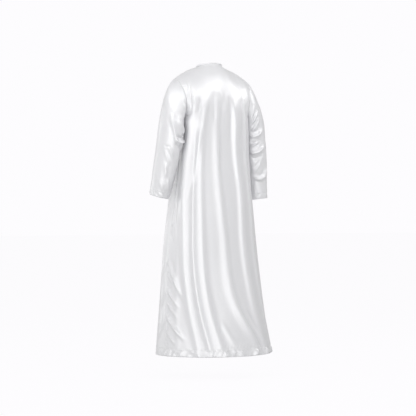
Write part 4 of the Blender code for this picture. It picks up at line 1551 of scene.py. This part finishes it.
@dataclass
class Button:
    """A round resin button with a raised rim and four holes."""

    finishes: Finishes
    radius: float = 0.0055
    thick: float = 0.0022
    hole_radius: float = 0.0006
    hole_place: float = 0.0012
    sides: int = 48
    pin_sides: int = 16

    def build(self, name: str, centre: Grid, facing: Grid) -> bpy.types.Object:
        """Builds a button at a place, facing a way."""
        r, t = self.radius, self.thick / 2
        profile = np.array(
            [
                (0.0, 0.25 * t), (0.45 * r, 0.25 * t), (0.62 * r, 0.40 * t), (0.72 * r, 0.85 * t),
                (0.82 * r, t), (0.92 * r, 0.85 * t), (r, 0.25 * t), (r, -0.25 * t),
                (0.92 * r, -0.8 * t), (0.75 * r, -t), (0.0, -t),
            ]
        )
        turn = np.linspace(0, 2 * math.pi, self.sides + 1)[:-1]
        rows = []
        for out, up in profile[1:-1]:
            rows.append(np.stack([out * np.cos(turn), out * np.sin(turn), np.full(self.sides, up)], 1))
        points = np.concatenate(rows)
        faces = grid_quads(len(rows), self.sides, closed=True, flip=True).tolist()
        faces += [list(range(self.sides)), [len(points) - self.sides + i for i in range(self.sides)][::-1]]
        mesh = bpy.data.meshes.new(name)
        mesh.from_pydata(points.tolist(), [], faces)
        blank = linked(name, mesh)
        drill = self.drill()
        cut = blank.modifiers.new("holes", "BOOLEAN")
        cut.object, cut.solver = drill, "EXACT"
        graph = bpy.context.evaluated_depsgraph_get()
        drilled = bpy.data.meshes.new_from_object(blank.evaluated_get(graph))
        for helper in (blank, drill):
            bpy.data.objects.remove(helper, do_unlink=True)
        drilled.name = name
        turned = Vector(facing).to_track_quat("Z", "Y").to_matrix().to_4x4()
        turned.translation = Vector(centre)
        drilled.transform(turned)
        drilled.materials.clear()
        drilled.materials.append(self.finishes.pearl)
        drilled.shade_smooth()
        drilled.set_sharp_from_angle(angle=math.radians(40))
        return linked(name, drilled)

    def drill(self) -> bpy.types.Object:
        """Four pins where the holes go."""
        points, faces = [], []
        n = self.pin_sides
        turn = np.linspace(0, 2 * math.pi, n + 1)[:-1]
        for x in (-self.hole_place, self.hole_place):
            for y in (-self.hole_place, self.hole_place):
                first = len(points)
                for z in (-self.thick, self.thick):
                    points += [
                        (x + self.hole_radius * math.cos(a), y + self.hole_radius * math.sin(a), z) for a in turn
                    ]
                ring = [first + i for i in range(n)]
                beside = [*ring[1:], first]
                faces += [[a, b, b + n, a + n] for a, b in zip(ring, beside)]
                faces += [ring[::-1], [i + n for i in ring]]
        mesh = bpy.data.meshes.new("pins")
        mesh.from_pydata(points, [], faces)
        return linked("pins", mesh)


@dataclass
class Sewing:
    """The rows of stitches that show, at hem, cuffs and placket."""

    body: Body
    sleeves: dict[Side, Sleeve]
    placket: Placket
    finishes: Finishes
    line: StitchLine = field(default_factory=StitchLine)
    proud: float = 0.00012
    inset: float = 0.0028
    end_rows: int = 3
    box_rows: int = 12

    def at_height(self, surface: Grid, normals: Grid, down: Grid, height: float) -> Grid:
        """A path across a surface at a height above its last row."""
        place = np.array([down[-1] - height])
        row = smooth_through(down, surface, place)[0]
        out = smooth_through(down, normals, place)[0]
        return row + out * self.proud

    def build(self) -> list[bpy.types.Object]:
        """Sews every row."""
        fine, cloth = self.body.fine, self.body.cloth
        hem = [
            self.at_height(self.body.surfaces[panel], fine.normals[panel], fine.down, cloth.stitch_height)
            for panel in Panel
        ]
        rows = {"hem_stitches": [(np.concatenate([hem[0], hem[1][::-1][1:-1]]), True)]}
        for side, sleeve in self.sleeves.items():
            path = self.at_height(sleeve.surface, sleeve.normals, sleeve.down, cloth.cuff_stitch_height)
            rows[f"{side.name.lower()}_cuff_stitches"] = [(path, True)]
        strip = self.placket.surface + normals_of(self.placket.surface, Panel.FRONT.value) * self.proud
        step = 2 * self.placket.half_width / (self.placket.columns - 1)
        inset = round(self.inset / step)
        low = len(strip) - self.end_rows
        rows["placket_stitches"] = [
            (strip[1 : low + 1, inset], False),
            (strip[1 : low + 1, -1 - inset], False),
            (strip[low, inset:-inset], False),
            (strip[low - self.box_rows, inset:-inset], False),
        ]
        made = []
        for name, paths in rows.items():
            made.append(dress(self.line.along(name, paths, self.finishes.thread), Slot.SATIN))
        return made


@dataclass(frozen=True)
class SoftBox:
    """A flat studio lamp, aimed at the robe."""

    name: str
    turn: float
    elevation: float
    distance: float
    width: float
    height: float
    power: float


@dataclass
class Studio:
    """The camera, the lamps, the pale floor and the plain surroundings."""

    azimuth: float = 150.0
    distance: float = 8.5
    lens: float = 147.1
    target: tuple[float, float, float] = (0.0043, -0.0025, -0.70)
    floor_drop: float = 1.54
    floor_radius: float = 40.0
    backdrop: tuple[float, float, float] = (0.982, 0.974, 0.991)
    fill: float = 0.74
    overhead: float = 0.36
    shaded: float = 0.80
    lamps: tuple[SoftBox, ...] = (
        SoftBox("front", -8.0, -1.0, 11.0, 13.0, 7.0, 465.0),
        SoftBox("top_left", -46.0, 48.0, 4.0, 3.4, 0.9, 30.0),
        SoftBox("top", 0.0, 54.0, 4.0, 2.6, 0.9, 20.0),
        SoftBox("top_right", 52.0, 47.0, 4.0, 2.6, 0.9, 24.0),
        SoftBox("right", 103.0, 34.0, 4.0, 2.2, 0.9, 25.0),
        SoftBox("left", -118.0, 6.0, 4.0, 0.8, 2.4, 14.0),
    )

    def way(self, turn: float, elevation: float) -> Vector:
        """The direction at an angle round from the camera and above the horizon."""
        a, e = math.radians(self.azimuth + turn), math.radians(elevation)
        return Vector((math.sin(a) * math.cos(e), -math.cos(a) * math.cos(e), math.sin(e)))

    def build(self) -> None:
        """Sets up the whole studio."""
        scene = bpy.context.scene
        scene.view_settings.view_transform = "Standard"
        camera = bpy.data.cameras.new("camera")
        camera.sensor_width, camera.lens = 36.0, self.lens
        seen = bpy.data.objects.new("camera", camera)
        scene.collection.objects.link(seen)
        way = self.way(0.0, 0.0)
        seen.location = Vector(self.target) + way * self.distance
        seen.rotation_euler = (-way).to_track_quat("-Z", "Y").to_euler()
        scene.camera = seen
        for lamp in self.lamps:
            light = bpy.data.lights.new(lamp.name, "AREA")
            light.shape, light.size, light.size_y = "RECTANGLE", lamp.width, lamp.height
            light.energy = lamp.power
            holder = bpy.data.objects.new(lamp.name, light)
            way = self.way(lamp.turn, lamp.elevation)
            holder.location = Vector(self.target) + way * lamp.distance
            holder.rotation_euler = way.to_track_quat("Z", "Y").to_euler()
            scene.collection.objects.link(holder)
        self.surroundings()
        self.floor()

    def surroundings(self) -> None:
        """An even pale surround that lights the robe more softly than it looks."""
        world = bpy.data.worlds.new("surroundings")
        bpy.context.scene.world = world
        world.use_nodes = True
        tree = world.node_tree
        seen = tree.nodes["Background"]
        put(seen, {"Color": (*self.backdrop, 1.0)})
        lit = tree.nodes.new("ShaderNodeBackground")
        put(lit, {"Color": (1.0, 1.0, 1.0, 1.0)})
        place, split = tree.nodes.new("ShaderNodeTexCoord"), tree.nodes.new("ShaderNodeSeparateXYZ")
        dim = tree.nodes.new("ShaderNodeMapRange")
        put(dim, {"From Min": 0.15, "From Max": 1.0, "To Min": self.fill, "To Max": self.overhead})
        wire(place, "Generated", split, "Vector")
        wire(split, "Z", dim, "Value")
        beside = tree.nodes.new("ShaderNodeVectorMath")
        beside.operation = "DOT_PRODUCT"
        beside.inputs[1].default_value = self.way(90.0, 0.0)
        shade = tree.nodes.new("ShaderNodeMapRange")
        shade.interpolation_type = "SMOOTHSTEP"
        put(shade, {"From Min": 0.05, "From Max": 0.80, "To Min": 1.0, "To Max": self.shaded})
        wire(place, "Generated", beside, 0)
        wire(beside, "Value", shade, "Value")
        both = tree.nodes.new("ShaderNodeMath")
        both.operation = "MULTIPLY"
        wire(dim, "Result", both, 0)
        wire(shade, "Result", both, 1)
        wire(both, "Value", lit, "Strength")
        ray, mix = tree.nodes.new("ShaderNodeLightPath"), tree.nodes.new("ShaderNodeMixShader")
        wire(ray, "Is Camera Ray", mix, 0)
        wire(lit, 0, mix, 1)
        wire(seen, 0, mix, 2)
        wire(mix, 0, tree.nodes["World Output"], "Surface")

    def floor(self) -> None:
        """A plain pale floor."""
        r = self.floor_radius
        corners = np.array([(-r, -r, 0.0), (r, -r, 0.0), (r, r, 0.0), (-r, r, 0.0)])
        corners[:, 2] = -self.floor_drop
        finish, _, shader = new_finish("floor")
        put(shader, {
            "Base Color": (0.03, 0.03, 0.03, 1.0), "Roughness": 1.0, "Specular IOR Level": 0.0,
            "Emission Color": (*self.backdrop, 1.0), "Emission Strength": 0.975,
        })
        made = object_of("floor", corners, np.array([[0, 1, 2, 3]]), finish, None)
        made.visible_diffuse = made.visible_glossy = False


def main() -> None:
    """Builds the studio and the whole robe."""
    logging.basicConfig(level=logging.INFO, format="%(name)s %(message)s")
    Studio().build()
    finishes, cloth, fine = Finishes.made(), Cloth(), FineForm()
    body = Body(fine, cloth, finishes)
    pieces = body.build()
    sleeves = {side: Sleeve(side, fine, cloth, finishes) for side in Side}
    for sleeve in sleeves.values():
        pieces.update(sleeve.build())
    pieces["neck_band"] = NeckBand(fine, finishes).build()
    placket = Placket(body, finishes)
    for made in placket.build() + Sewing(body, sleeves, placket, finishes).build():
        pieces[made.name] = made
    for name in pieces:
        LOG.info("made %s", name)


if __name__ == "__main__":
    main()
